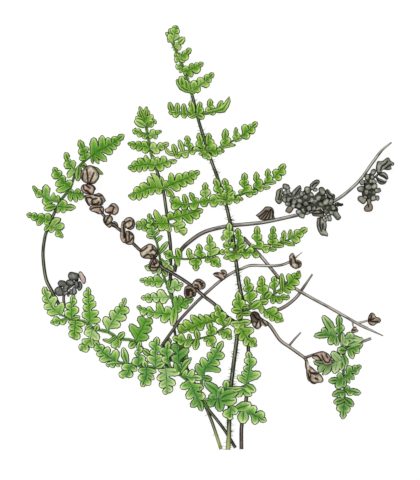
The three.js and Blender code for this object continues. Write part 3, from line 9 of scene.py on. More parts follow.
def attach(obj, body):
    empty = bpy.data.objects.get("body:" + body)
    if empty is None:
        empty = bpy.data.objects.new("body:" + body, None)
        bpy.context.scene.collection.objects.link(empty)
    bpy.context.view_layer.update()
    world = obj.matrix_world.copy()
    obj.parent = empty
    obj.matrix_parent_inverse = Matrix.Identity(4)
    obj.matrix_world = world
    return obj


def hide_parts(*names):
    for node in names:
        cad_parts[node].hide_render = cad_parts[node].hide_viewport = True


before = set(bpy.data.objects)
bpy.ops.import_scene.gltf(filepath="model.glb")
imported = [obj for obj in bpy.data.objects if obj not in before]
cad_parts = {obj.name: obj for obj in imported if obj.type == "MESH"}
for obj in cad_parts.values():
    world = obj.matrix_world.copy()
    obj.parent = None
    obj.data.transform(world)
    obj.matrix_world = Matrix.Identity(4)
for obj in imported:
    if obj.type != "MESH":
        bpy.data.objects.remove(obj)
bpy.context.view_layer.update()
print("frame loaded with", len(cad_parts), "nodes")

# The fronds lie on the floor, seen from above. Their places are millimetres from the middle of
# the picture: x to its right, y to its top and z off the floor.
mm = 0.001
layoutShift = Vector((1.6, -0.55, 0))  # from that middle to the part's frame, in mm
toFrame = Matrix.Scale(mm, 4) @ Matrix.Translation(layoutShift)
up = Vector((0, 0, 1))
lowest = 0.02    # nothing reaches below this height, mm
weld = 0.004     # points closer than this become one, mm


# Materials

def linear(hexColour):
    parts = [int(hexColour[k:k + 2], 16) / 255 for k in (1, 3, 5)]
    return tuple(c / 12.92 if c <= 0.04045 else ((c + 0.055) / 1.055) ** 2.4 for c in parts) + (1.0,)


# An input is given by its name, with _ for a blank, or by i and its number.
def addNode(tree, kind, settings=(), **inputs):
    node = tree.nodes.new(kind)
    for key, value in dict(settings).items():
        setattr(node, key, value)
    for key, value in inputs.items():
        socket = node.inputs[int(key[1:]) if key[1:].isdigit() else key.replace("_", " ")]
        if isinstance(value, bpy.types.NodeSocket):
            tree.links.new(value, socket)
        else:
            socket.default_value = value
    return node


def newMaterial(name):
    material = bpy.data.materials.new(name)
    material.use_nodes = True
    tree = material.node_tree
    tree.nodes.clear()
    return material, tree


cuticleIor = 1.45  # refraction of plant wax


# A skin whose colour is built up in layers: each lies where its attribute or its noise of some
# millimetres runs from low to high, at most by its amount. The last noise is its relief too. A
# colour mix has its factor at input 0, its two colours at 6 and 7 and its result at output 2.
def layeredMaterial(name, base, layers, roughness, gloss, relief):
    material, tree = newMaterial(name)
    place = addNode(tree, "ShaderNodeTexCoord").outputs["Object"]
    colour = linear(base)
    grain = 0.0
    for source, low, high, amount, over in layers:
        if isinstance(source, str):
            value = addNode(tree, "ShaderNodeAttribute", {"attribute_name": source}).outputs["Fac"]
        else:
            scale = 1 / (source * mm)
            value = addNode(tree, "ShaderNodeTexNoise", Vector=place, Scale=scale, Detail=3.0).outputs["Fac"]
            grain = value
        share = addNode(tree, "ShaderNodeMapRange", {"interpolation_type": "SMOOTHSTEP"}, Value=value,
                        From_Min=low, From_Max=high, To_Max=amount).outputs["Result"]
        mix = addNode(tree, "ShaderNodeMix", {"data_type": "RGBA"}, i0=share, i6=colour, i7=linear(over))
        colour = mix.outputs[2]
    bump = addNode(tree, "ShaderNodeBump", Height=grain, Distance=relief * mm, Strength=1.0)
    skin = addNode(tree, "ShaderNodeBsdfPrincipled", Base_Color=colour, Roughness=roughness, IOR=cuticleIor,
                   Specular_IOR_Level=gloss, Normal=bump.outputs["Normal"])
    addNode(tree, "ShaderNodeOutputMaterial", Surface=skin.outputs["BSDF"])
    return material


# Fern leaf: a thin satin cuticle over soft tissue, deep green along the veins. A painted highlight makes it
# yellow green in the lobe ends and just inside the margins; painted shade, over a deeper green of its own,
# makes it deep green between the lobes and dark olive along the margin, where it is rolled under.
def leafMaterial(name, look):
    return layeredMaterial(name, look["blade"], [
        ("tip", 0.6, 0.1, 0.85, look["deep"]),
        (2.6, 0.47, 0.66, 0.7, look["deep"]),
        ("tip", 0.45, 1.0, 0.8, look["paleAndHighlight"]),
        ("edge", 1.25, 0.7, 0.25, look["paleAndHighlight"]),
        ("tone", 0.2, 1.0, 0.45, look["paleAndHighlight"]),
        ("tone", 0.0, -0.6, 0.55, look["deep"]),
        (0.6, 0.5, 0.75, 0.45, look["deep"]),
        ("vein", 0.5, 0.12, 0.85, look["rib"]),
        ("edge", 0.64, 0.38, 0.95, look["margin"]),
    ], roughness=0.6, gloss=0.08, relief=0.1)


# Fern stalk: a hard, glossy cuticle, dark, with a painted highlight as a pale streak along its top and
# painted shade that makes its sides and underside nearly black; green where it is fresh and yellow green
# towards its foot.
def stalkMaterial(name, look):
    return layeredMaterial(name, look["side"], [
        ("ridge", look["highlightWidth"], look["highlightWidth"] - 0.3, 1.0, look["top"]),
        ("ridge", 0.2, 0.05, look["line"], look["side"]),
        ("fresh", 0.0, 1.0, 0.9, look["fresh"]),
        ("foot", 0.0, 1.0, 0.85, look["foot"]),
        ("streak", 0.1, 0.55, 0.7, look["side"]),
        (0.4, 0.55, 0.8, 0.3, look["top"]),
        ("upward", 0.8, 0.45, 0.9, look["side"]),
    ], roughness=look["roughness"], gloss=0.22, relief=0.06)


# Withered leaf: dry papery tissue, matt and wrinkled, rosy in places. A painted highlight makes it palest on
# the folds that stand up; painted shade makes it nearly black in its creases and along its rim. It is darker
# where its tone is below zero.
def witheredMaterial(name, look):
    return layeredMaterial(name, look["pale"], [
        (2.2, 0.42, 0.6, 0.7, look["body"]),
        ("crease", 1.0, 0.4, 0.65, look["body"]),
        ("tone", 0.4, 1.0, 0.7, look["warm"]),
        (0.7, 0.52, 0.75, 0.4, look["dark"]),
        ("crease", 0.55, 0.2, 0.95, look["dark"]),
        ("tone", -0.2, -1.0, 0.85, look["dark"]),
    ], roughness=0.85, gloss=0.06, relief=0.15)


# Pieces

def newForm(*layers):
    form = bmesh.new()
    for name in layers:
        form.verts.layers.float.new(name)
    return form


def paint(form, vert, **values):
    for name, value in values.items():
        vert[form.verts.layers.float[name]] = value


def makePiece(form, name, node, material):
    bmesh.ops.transform(form, matrix=toFrame, verts=form.verts)
    bmesh.ops.recalc_face_normals(form, faces=form.faces)
    mesh = bpy.data.meshes.new(name)
    form.to_mesh(mesh)
    form.free()
    mesh.polygons.foreach_set("use_smooth", [True] * len(mesh.polygons))
    mesh.materials.append(material)
    piece = bpy.data.objects.new(name, mesh)
    bpy.context.scene.collection.objects.link(piece)
    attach(piece, "root")
    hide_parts(node)
    print("made", name, "with", sum(len(p.vertices) - 2 for p in mesh.polygons), "triangles")


# A smooth line through the points, with a point about every step.
def smoothPath(points, step):
    knots = [Vector(p) for p in points]
    knots = [2 * knots[0] - knots[1]] + knots + [2 * knots[-1] - knots[-2]]
    path = []
    for a, b, c, d in zip(knots, knots[1:], knots[2:], knots[3:]):
        count = max(1, round((c - b).length / step))
        for k in range(count):
            t = k / count
            bend = (c - a) * t + (2 * a - 5 * b + 4 * c - d) * t * t + (3 * b - a - 3 * c + d) * t ** 3
            path.append(b + bend / 2)
    return path + [knots[-2]]


# Stalks

stalkShape = {
    "flat": 0.7,  # height, in widths
    "main": 0.6,  # a stalk with a larger first radius is a main one, mm
    "streaked": 0.55,  # and with more than this it has dark streaks, mm
    "mainSides": 12,
    "sides": 8,
    "highlightAt": 0.12,  # how far the pale streak of painted highlight lies off the middle, in radii
    "winding": 0.25,  # how far it winds, in radii
    "taperEnd": 9,  # length of a tapering end, mm
    "sideFresh": 0.8,  # how green side stalks are
}
stalkLayers = ("upward", "ridge", "streak", "fresh", "foot")


# Frames along a path: z runs with it, y points up, and the scale is the radius.
def stationsOf(path, first, last, flat=stalkShape["flat"]):
    stations = []
    for k, at in enumerate(path):
        way = (path[min(k + 1, len(path) - 1)] - path[max(k - 1, 0)]).normalized()
        side = up.cross(way).normalized()
        turn = Matrix((side, way.cross(side), way)).transposed().to_4x4()
        radius = first + (last - first) * k / (len(path) - 1)
        stations.append(Matrix.Translation(at) @ turn @ Matrix.Diagonal((radius, radius * flat, radius, 1)))
    return stations


# A round or flat closed bar along the stations. It gives each ring's number, point and place in
# the ring.
def sweep(form, stations, sides):
    ring = bmesh.ops.create_circle(form, cap_ends=True, segments=sides, radius=1, matrix=stations[0])["verts"]
    edges = list({e for v in ring for e in v.link_edges})
    points = []
    for k, here in enumerate(stations):
        if k:
            grown = bmesh.ops.extrude_edge_only(form, edges=edges)["geom"]
            ring = [g for g in grown if isinstance(g, bmesh.types.BMVert)]
            edges = [g for g in grown if isinstance(g, bmesh.types.BMEdge)]
            bmesh.ops.transform(form, matrix=here @ stations[k - 1].inverted(), verts=ring)
        back = here.inverted()
        points += [(k, vert, back @ vert.co) for vert in ring]
    bmesh.ops.contextual_create(form, geom=edges)
    return points


# The foot is how strongly its colour starts and over how many mm it fades.
def addStalk(form, points, first, last, sides, step=1.5, fresh=0.0, foot=(0.0, 1.0), taper=0.0):
    shape = stalkShape
    stations = stationsOf(smoothPath(points, step), first, last)
    for k in range(len(stations)):
        slim = min(1, 1 - taper + taper * (len(stations) - 1 - k) * step / shape["taperEnd"])
        stations[k] @= Matrix.Diagonal((slim, slim, slim, 1))
    for k, vert, local in sweep(form, stations, sides):
        wander = noise.noise(Vector((local.x * 2.5, k * step * 0.2, points[0][0])))
        # A painted highlight lies along the top as a pale streak, set by the distance across from it; the
        # sides and underside, where upward is low, get painted shade in the material.
        ridge = abs(local.x - shape["highlightAt"] + shape["winding"] * wander)
        streak = wander * 2 if first > shape["streaked"] else 0
        footShare = max(0, foot[0] - k * step / foot[1])
        paint(form, vert, ridge=ridge, upward=local.y, streak=streak, fresh=fresh, foot=footShare)
        vert.co.z = max(vert.co.z, lowest)


wingShape = {
    "above": 0.12,  # over the stalk's top, mm
    "step": 0.7,  # between its rings, mm
    "halfThick": 0.15,  # mm
    "narrowing": 0.8,  # width at the end, of that at the start
    "swing": 0.3,  # how much its width varies
    "endWidth": 0.4,  # width at both ends, of the rest
    "droop": 0.35,  # how far its edges sink, in half widths
    "rimShift": 0.25,  # keeps its rim's painted shade lighter than a leaf's, mm
    "sideHalf": 0.65,  # half width on side stalks, mm
}


# A narrow border of leaf tissue along the top of a stalk.
def addWing(form, points, radius, half):
    shape = wingShape
    rise = radius * stalkShape["flat"] + shape["above"]
    path = [p + up * rise for p in smoothPath(points, shape["step"])]
    stations = stationsOf(path, half, half * shape["narrowing"], shape["halfThick"] / half)
    for k, vert, local in sweep(form, stations, stalkShape["mainSides"]):
        swing = 1 + shape["swing"] * noise.noise(Vector((k * 0.45, points[0][0], math.copysign(3, local.x))))
        ends = min(1, shape["endWidth"] + min(k, len(path) - 1 - k) / 4)
        axis = path[k]
        vert.co.x = axis.x + (vert.co.x - axis.x) * swing * ends
        vert.co.y = axis.y + (vert.co.y - axis.y) * swing * ends
        vert.co.z = max(lowest, vert.co.z - shape["droop"] * abs(local.x) ** 2 * half)
        across = abs(local.x) * half
        edge = half - across + shape["rimShift"] if local.y >= -0.1 else 0.6
        paint(form, vert, edge=edge, vein=across, tip=0.2, tone=-0.3)


hairShape = {
    "length": 2.5,  # mm
    "range": (0.4, 1.1),  # least and most, of that length
    "radius": 0.19,  # at the root, mm
    "spread": 0.5,  # how far they stray from the two sides of the stalk, radians
    "slope": (-0.5, 0.7),  # how far they lean back or forward
    "root": 0.85,  # where they begin, in radii
}


def addHairs(form, points, first, last, count):
    shape = hairShape
    stations = stationsOf(smoothPath(points, 0.8), first, last)
    for _ in range(count):
        station = random.choice(stations)
        angle = random.choice((0, math.pi)) + random.gauss(0, shape["spread"])
        out = Vector((math.cos(angle), math.sin(angle), random.uniform(*shape["slope"]))).normalized()
        size = shape["length"] * random.uniform(*shape["range"])
        turn = station.to_quaternion().to_matrix().to_4x4()
        place = Matrix.Translation(station @ (out * shape["root"])) @ turn
        place = place @ out.to_track_quat("Z", "Y").to_matrix().to_4x4()
        place = place @ Matrix.Translation((0, 0, size / 2))
        hair = bmesh.ops.create_cone(form, segments=3, radius1=shape["radius"], radius2=0, depth=size,
                                     cap_ends=True, matrix=place)
        for vert in hair["verts"]:
            paint(form, vert, upward=1.0, ridge=1.0, streak=0.0, fresh=0.0, foot=0.0)
            vert.co.z = max(vert.co.z, lowest)


# Leaves

leafShape = {
    "neck": 0.75,  # half width at the stalk, mm
    "neckGap": 0.3,  # between the neck and the first lobe, mm
    "crown": 0.3,  # rise of the rib in the middle, mm
    "sink": 0.03,  # how far the rib sinks, of its length
    "droop": 0.09,  # how far a lobe sinks, of its reach
    "lowestRib": 0.33,  # mm
    "thickness": 0.34,  # mm
    "tooth": 0.12,  # how far the margin swings in and out, mm
    "grow": 0.16,  # how far the margin lies outside the traced tips, mm
    "fullWidth": 1.5,  # a stretch that is narrower than this has smaller teeth, mm
    "layers": 0.3,  # most that one leaf lies higher than its neighbours, mm
    "waves": (0.12, 0.35),  # height in mm, and how many to a mm
    "overStalk": 0.2,  # over a stalk that it crosses, mm
    "slope": 0.4,  # how steeply it leaves that stalk
    "tones": (-0.2, 0.6),  # least and most tone of a leaf
    "lobeTone": 0.25,  # and how far a lobe differs from it
    "shade": 1.3,  # how much deeper the tone is in the shade
}
lobeShape = {
    "lean": 0.5,  # a vein points forward by this much of its lobe's reach
    "rootRange": (0.1, 0.88),  # where veins may leave the rib, of its length
    "broadest": 0.54,  # where a lobe is broadest, of its reach
    "leastHalf": 0.4,  # narrowest half lobe, mm
    "mostHalf": 2.1,  # widest half lobe, mm
    "room": 0.48,  # half width, of the space to the next lobe
    "notch": 0.4,  # where a cut ends, of the shorter lobe's reach
    "deeper": 0.045,  # how much nearer to the rib it ends, for each mm of that reach
    "deepest": 0.3,  # but not nearer than this
    "tipGap": 0.9,  # from the last cut to the leaf's tip, mm
    "veinGap": 0.6,  # from a vein's end to the tip, in half widths
    "blunt": 1.25,  # 1 is an oval end, more is pointed
    "small": 2.3,  # a lobe with less reach has fewer columns, mm
}
endShape = {
    "traced": 1.1,  # its width, of the one given
    "widths": (1.9, 3.4),  # least and most where none is given, mm
    "wide": 0.66,  # and its part of the length beyond the last vein
    "broadest": (0.42, 0.58),  # where it is broadest with and without side lobes, of its length
    "blunt": (1.35, 1),
    "foot": 0.55,  # from the rib's end to the tip, in half widths
}
endLobe = 99
ribShare = 0.14  # a lobe's edge begins with this part beside the rib


# A rib as a polyline: along gives the distance from the root and the distance to its left, and
# place is the reverse.
class Rib:
    def __init__(self, flat):
        self.points = [Vector(flat[k:k + 2]) for k in range(0, len(flat), 2)]
        steps = [b - a for a, b in zip(self.points, self.points[1:])]
        self.ways = [s.normalized() for s in steps]
        self.starts = [sum(s.length for s in steps[:k]) for k in range(len(steps) + 1)]
        self.length = self.starts[-1]

    def along(self, x, y):
        best = (math.inf, 0, 0)
        for a, way, start, end in zip(self.points, self.ways, self.starts, self.starts[1:]):
            away = Vector((x, y)) - a
            s = min(max(away.dot(way), 0), end - start)
            gap = (away - way * s).length
            side = 1 if way.x * away.y - way.y * away.x > 0 else -1
            if gap < best[0] - 1e-9:
                best = (gap, start + s, side * gap)
        return best[1], best[2]

    def place(self, s, d):
        k = 0
        while k < len(self.ways) - 1 and s > self.starts[k + 1]:
            k += 1
        t = (s - self.starts[k]) / (self.starts[k + 1] - self.starts[k])
        other = self.ways[min(len(self.ways) - 1, max(0, k - 1 if t < 0.5 else k + 1))]
        way = self.ways[k].lerp(other, abs(t - 0.5)).normalized()
        return self.points[k] + self.ways[k] * (s - self.starts[k]) + Vector((-way.y, way.x)) * d


# The edge of a lobe from its notch to its tip, as u runs from 0 to 1: a curve to the broadest
# point, and from 0.5 on an end with the half axes forward and outward.
def lobeEdge(u, notch, pull, middle, forward, outward, blunt):
    if u < 0.5:
        t = 2 * u
        return notch * (1 - t) ** 2 + pull * 2 * t * (1 - t) + (middle + outward) * t * t
    turn = (u - 0.5) * math.pi
    return middle + forward * math.sin(turn) + outward * math.cos(turn) ** blunt


# A side lobe, in distances along and across the rib: its vein's root, its tip and its reach.
class Lobe:
    def __init__(self, root, tip, reach):
        self.root, self.tip, self.reach = root, tip, reach
        self.level = lobeShape["broadest"] * reach

    def axisAt(self, d):
        return self.root + (self.tip - self.root) * d / self.reach

    # Half widths behind and ahead of the vein, the notch behind the lobe and its foot on the rib.
    def fit(self, before, after, ribLength, endHalf):
        shape = lobeShape
        here = self.axisAt(self.level)
        behind = here - before.axisAt(self.level) if before else 1.8 * here + 0.4
        ahead = after.axisAt(self.level) - here if after else math.inf
        most = min(shape["mostHalf"], 0.46 * self.reach + 0.65)
        self.back = min(most, max(shape["leastHalf"], behind * shape["room"]))
        self.fore = min(most, max(shape["leastHalf"], ahead * shape["room"]))
        shorter = min(self.reach, after.reach if after else 1.3 * endHalf)
        deep = shorter * max(shape["deepest"], shape["notch"] - shape["deeper"] * shorter)
        cut = self.axisAt(deep) + self.fore * 0.8
        if after:
            cut = (self.axisAt(deep) + after.axisAt(deep)) / 2
        cut = min(cut, ribLength - shape["tipGap"])
        self.notch = (cut, deep)
        self.foot = min(max(cut, self.root), after.root if after else ribLength)

    # The lobe's columns from the notch before it to its own: the edge forward to the tip and back.
    def columns(self, number, notch, foot, joints):
        rootAt = Vector((self.root, 0))
        axis = Vector((self.tip - self.root, self.reach))
        length = axis.length
        axis.normalize()
        across = Vector((axis.y, -axis.x))
        middle = rootAt + axis * length * self.level / self.reach
        forward = axis * (length * (1 - self.level / self.reach))
        centre = length * self.level / self.reach
        veinEnd = length - lobeShape["veinGap"] * min(self.back, self.fore)

        def edgeAt(u, start, width):
            start, outward = Vector(start), across * width
            pull = middle + outward - axis * 0.5 * max(0.2, (middle - start).dot(axis))
            return lobeEdge(u, start, pull, middle, forward, outward, lobeShape["blunt"])

        def veinAt(u):
            if u < 0.5:
                return rootAt + axis * centre * max(0, (u - ribShare) / (0.5 - ribShare))
            share = min(1, math.sin((u - 0.5) * math.pi) * 1.1)
            return rootAt + axis * (centre + (veinEnd - centre) * share)

        spread = [ribShare, 0.3, 0.44, 0.56, 0.67, 0.78, 0.89]
        if self.reach < lobeShape["small"]:
            spread = [ribShare, 0.4, 0.6, 0.8]
        columns = []
        for j in between(joints, foot, self.root):
            u = ribShare * (j - foot) / (self.root - foot)
            columns.append((edgeAt(u, notch, -self.back), (j, 0), 0, number))
        columns += [(edgeAt(u, notch, -self.back), veinAt(u), u, number) for u in spread]
        columns.append((edgeAt(1, notch, 0), veinAt(1), 1, number))
        columns += [(edgeAt(u, self.notch, self.fore), veinAt(u), u, number) for u in reversed(spread)]
        for j in between(joints, self.root, self.foot):
            u = ribShare * (self.foot - j) / (self.foot - self.root)
            columns.append((edgeAt(u, self.notch, self.fore), (j, 0), 0, number))
        return columns


def between(joints, a, b):
    return [j for j in joints if a < j < b]


# The side lobes to the left and to the right of the rib, in order.
def sideLobes(rib, tips):
    first, last = lobeShape["rootRange"]
    halves = [[], []]
    for k in range(0, len(tips), 2):
        s, d = rib.along(tips[k], tips[k + 1])
        root = min(max(s - lobeShape["lean"] * abs(d), first * rib.length), last * rib.length)
        halves[0 if d > 0 else 1].append((root, s, abs(d)))
    return [[Lobe(*lobe) for lobe in sorted(half)] for half in halves]


# Columns of a leaf: an outline point and the point of the rib or of a lobe's vein that it
# belongs to, both as distances along and across the rib, then how near the lobe's tip it is
# and the lobe's number. Both halves use the same points of the rib, so that they close.
def leafColumns(rib, tips, endWidth):
    halves = sideLobes(rib, tips)
    lastRoot = max([0] + [lobe.root for lobes in halves for lobe in lobes])
    least, most = endShape["widths"]
    beyond = (rib.length - lastRoot) * endShape["wide"]
    endHalf = (endShape["traced"] * endWidth or min(most, max(least, beyond))) / 2
    endFoot = rib.length - endShape["foot"] * endHalf
    for lobes in halves:
        for k, lobe in enumerate(lobes):
            before = lobes[k - 1] if k else None
            after = lobes[k + 1] if k < len(lobes) - 1 else None
            lobe.fit(before, after, rib.length, endHalf)
    gap = leafShape["neckGap"]
    necks = [max(0.0, lobes[0].root - lobes[0].back - gap) if lobes else None for lobes in halves]
    lastCut = max([0] + [lobes[-1].foot for lobes in halves if lobes])
    joints = {0.0, endFoot} | {lastCut + (endFoot - lastCut) * k / 5 for k in range(6)}
    joints |= {neck for neck in necks if neck is not None}
    for lobe in halves[0] + halves[1]:
        joints |= {lobe.root, min(lobe.foot, endFoot)}
    joints = sorted(joints)

    neckHalf = leafShape["neck"]
    plain = 0 if tips else 1
    sides = []
    for lobes, neck in zip(halves, necks):
        columns = [((0, neckHalf), (0, 0), 0, 0)]
        foot = neck or 0.0
        notch = (foot, neckHalf)
        columns += [((j, neckHalf), (j, 0), 0, 0) for j in between(joints, 0, foot)]
        if foot:
            columns.append((notch, (foot, 0), 0, 0))
        for number, lobe in enumerate(lobes, 1):
            columns += lobe.columns(number, notch, foot, joints)
            foot = min(lobe.foot, endFoot)
            notch = lobe.notch
            columns.append((notch, (foot, 0), 0, number))
        left = rib.length - notch[0]
        middle = notch[0] + endShape["broadest"][plain] * left
        curve = [Vector(notch), Vector((notch[0] + 0.16 * left, endHalf)), Vector((middle, 0)),
                 Vector((rib.length - middle, 0)), Vector((0, endHalf)), endShape["blunt"][plain]]
        reached = max(foot, middle)
        for j in between(joints, foot, endFoot) + [endFoot]:
            if j < middle:
                u = 0.5 * (j - foot) / (middle - foot)
            else:
                u = 0.5 + 0.36 * (j - reached) / (endFoot - reached)
            columns.append((lobeEdge(u, *curve), (j, 0), u, endLobe))
        columns.append((lobeEdge(0.93, *curve), (endFoot, 0), 0.95, endLobe))
        sides.append(columns)
    mirrored = [((p[0], -p[1]), (q[0], -q[1]), u, number) for p, q, u, number in sides[1]]
    return sides[0] + [((rib.length, 0), (endFoot, 0), 1, endLobe)] + mirrored[::-1]


# The point of the stalks nearest to x, y: its distance, the height and radius there, its place.
def nearestOn(stalks, x, y):
    best = (math.inf, 0, 0, 0, 0)
    for points, first, last in stalks:
        for k in range(1, len(points)):
            ax, ay, az = points[k - 1]
            bx, by, bz = points[k]
            span = (bx - ax) ** 2 + (by - ay) ** 2
            t = min(max(((x - ax) * (bx - ax) + (y - ay) * (by - ay)) / span, 0), 1)
            atX = ax + (bx - ax) * t
            atY = ay + (by - ay) * t
            gap = math.hypot(x - atX, y - atY)
            if gap < best[0]:
                radius = first + (last - first) * (k - 1 + t) / (len(points) - 1)
                best = (gap, az + (bz - az) * t, radius, atX, atY)
    return best


# Where leaves lie in the shade of others and are deeper green: x, y and reach, in mm.
shadedSpots = [(-19, -57, 9), (0, -76, 11), (-37, -45, 6), (-16, -33, 6)]

# A leaf's grid from the vein over the margin to the underside. Each row has its distance from the
# margin in mm, how far it swells, of the width, and its side in thicknesses.
leafRows = [("vein", 0.0, 0.5), ("blade", 0.11, 0.5), (0.7, 0.11, 0.5), (0.35, 0.07, 0.5), (0.12, -0.02, 0.5),
            (0.0, -0.12, 0.0), (0.5, 0.08, -0.5), ("vein", 0.0, -0.5)]


# One leaf as a closed thin shell.
def addLeaf(form, row, carriers, stalks, order):
    shape = leafShape
    flat, tips, endWidth, lift = (row + [0, 0])[:4]
    rib = Rib(flat)
    gap, foot, _, footX, footY = nearestOn(carriers, *rib.points[0])
    near = [s for s in stalks if nearestOn([s], *rib.points[0])[0] < rib.length + 4]
    rise = shape["layers"] * ((order * 0.618) % 1)
    toneAndShade = random.uniform(*shape["tones"])
    # Painted shade: a leaf that lies in the shade of others gets a lower tone, and so a deeper green.
    for x, y, reach in shadedSpots:
        away = (rib.place(rib.length / 2, 0) - Vector((x, y))).length
        toneAndShade -= shape["shade"] * max(0, 1 - away / reach)
    lobeTones = {}

    def heightOf(s, d):
        t = s / rib.length
        level = foot - shape["sink"] * s + lift * t + shape["crown"] * 4 * t * (1 - t)
        return max(level - shape["droop"] * abs(d), shape["lowestRib"])

    columns = leafColumns(rib, tips, endWidth)
    steps = len(leafRows) - 1
    grid = bmesh.ops.create_grid(form, x_segments=len(columns), y_segments=steps, size=1)["verts"]
    for vert in grid:
        i = round((vert.co.x + 1) / 2 * len(columns)) % len(columns)
        outline, vein, nearTip, number = columns[i]
        inward, swell, side = leafRows[round((vert.co.y + 1) / 2 * steps)]
        outline, vein = Vector(outline), Vector(vein)
        width = (outline - vein).length
        slim = min(1, width / shape["fullWidth"])
        tooth = shape["tooth"] * (1 if i % 2 else -1) if 0.2 < nearTip < 1 else 0
        outline += (outline - vein).normalized() * (tooth + shape["grow"]) * slim
        if inward == "vein":
            inside = width
        elif inward == "blade":
            inside = max(0.6 * width, min(0.9, 0.8 * width))
        else:
            inside = min(inward, inward * width)
        at = outline.lerp(vein, inside / width if width else 1)
        spot = rib.place(at.x, at.y)
        wave, often = shape["waves"]
        level = heightOf(at.x, at.y) + rise + wave * noise.noise(Vector((spot.x, spot.y, order)) * often)
        if near:
            away, axisHeight, radius, _, _ = nearestOn(near, spot.x, spot.y)
            over = axisHeight + radius + shape["overStalk"]
            level = max(level, over - shape["slope"] * max(0, away - radius))
        level += swell * width + side * shape["thickness"]
        vert.co = (spot.x, spot.y, max(level, 0.3 if side > 0 else 0.03))
        shift = random.uniform(-shape["lobeTone"], shape["lobeTone"])
        tone = lobeTones.setdefault(number, toneAndShade + shift)
        fromVein = width - inside + (0.2 if nearTip > 0.1 and number != endLobe else 0)
        narrow = max(0.72, slim)
        edge = 0.65 if side < 0 else inside / narrow
        paint(form, vert, edge=edge, vein=fromVein / narrow, tip=nearTip, tone=tone)
    bmesh.ops.remove_doubles(form, verts=grid, dist=weld)
    carriers.append(([(p.x, p.y, heightOf(s, 0)) for p, s in zip(rib.points, rib.starts)], 0.2, 0.2))
    return gap, foot, (footX, footY), rib


# Green fronds: the stalks, the border along them, the leaves, and small stalks for the leaves
# that stand off.
def buildFrond(frond):
    name, look = frond["name"], frond["look"]
    random.seed(frond["seed"])
    (points, first, last), *sideStalks = frond["stalks"]
    girth = frond.get("girth", 1)
    stalks = [(points, first * girth, last * girth)] + sideStalks
    shape = stalkShape
    form = newForm(*stalkLayers)
    for k, (points, first, last) in enumerate(stalks):
        main = first > shape["main"]
        addStalk(form, points, first, last, shape["mainSides"] if main else shape["sides"],
                 fresh=0.0 if main else shape["sideFresh"], foot=(0, 1) if k else frond.get("foot", (0, 1)))
    addHairs(form, *stalks[0], frond.get("hairs", 0))
    (stalkNode, leafNode), (stalkSlot, leafSlot) = frond["nodes"], frond["slots"]
    makePiece(form, name + "_stalks", stalkNode, stalkMaterial(name + " stalk cuticle", look))
    form = newForm("edge", "vein", "tip", "tone")
    winged, half = frond["wing"]
    addWing(form, stalks[0][0][-winged:], stalks[0][2], half)
    for points, first, last in sideStalks:
        addWing(form, points, first, wingShape["sideHalf"])
    carriers = list(stalks)
    ownStalks = []
    for order, row in enumerate(frond["leaves"]):
        gap, foot, at, rib = addLeaf(form, row, carriers, stalks, order)
        if gap > 0.3:
            neck = rib.place(0.6, 0)
            middle = ((at[0] + neck.x) / 2, (at[1] + neck.y) / 2, foot + 0.1)
            ownStalks.append([(*at, foot), middle, (*neck, foot)])
    makePiece(form, name + "_leaflets", leafNode, leafMaterial(name + " leaf cuticle", look))
    if ownStalks:
        form = newForm(*stalkLayers)
        for points in ownStalks:
            addStalk(form, points, 0.4, 0.36, sides=6, step=0.8, fresh=shape["sideFresh"])
        material = stalkMaterial(name + " leaflet stalk", look)
        makePiece(form, name + "_leaflet_stalks", leafNode, material)


# Withered blades and small dry lobes

crumpleShape = {
    "rimStep": 0.45,  # between points of the rim, mm
    "creaseStep": 0.3,  # between points of a crease, mm
    "cell": 0.36,  # between the rings of the grid, mm
    "under": 4,  # rings underneath
    "clear": (0.7, 1.15),  # how soon a small or a large blade turns pale inside its painted rim shade
    "steep": 2.6,  # how box-like the dome is
    "lump": (0.3, 0.6),  # swell of the dome, and lumps to a mm
    "wrinkle": (0.25, 1.7),  # height in mm, and wrinkles to a mm
    "crease": (0.7, 0.4),  # depth and half width, mm
}
beadShape = {
    "corners": 10,
    "stretch": (0.1, 0.4),  # how far its two ends lie from its middle, in radii
    "ragged": (0.95, 1.25),  # distance of its corners, in radii
    "tones": (-0.45, 0.25),
    "level": (1.2, 2.1),  # height of its middle, mm
    "height": 1.7,  # in radii
}


def pairsOf(flat):
    return [Vector(flat[k:k + 2]) for k in range(0, len(flat), 2)]


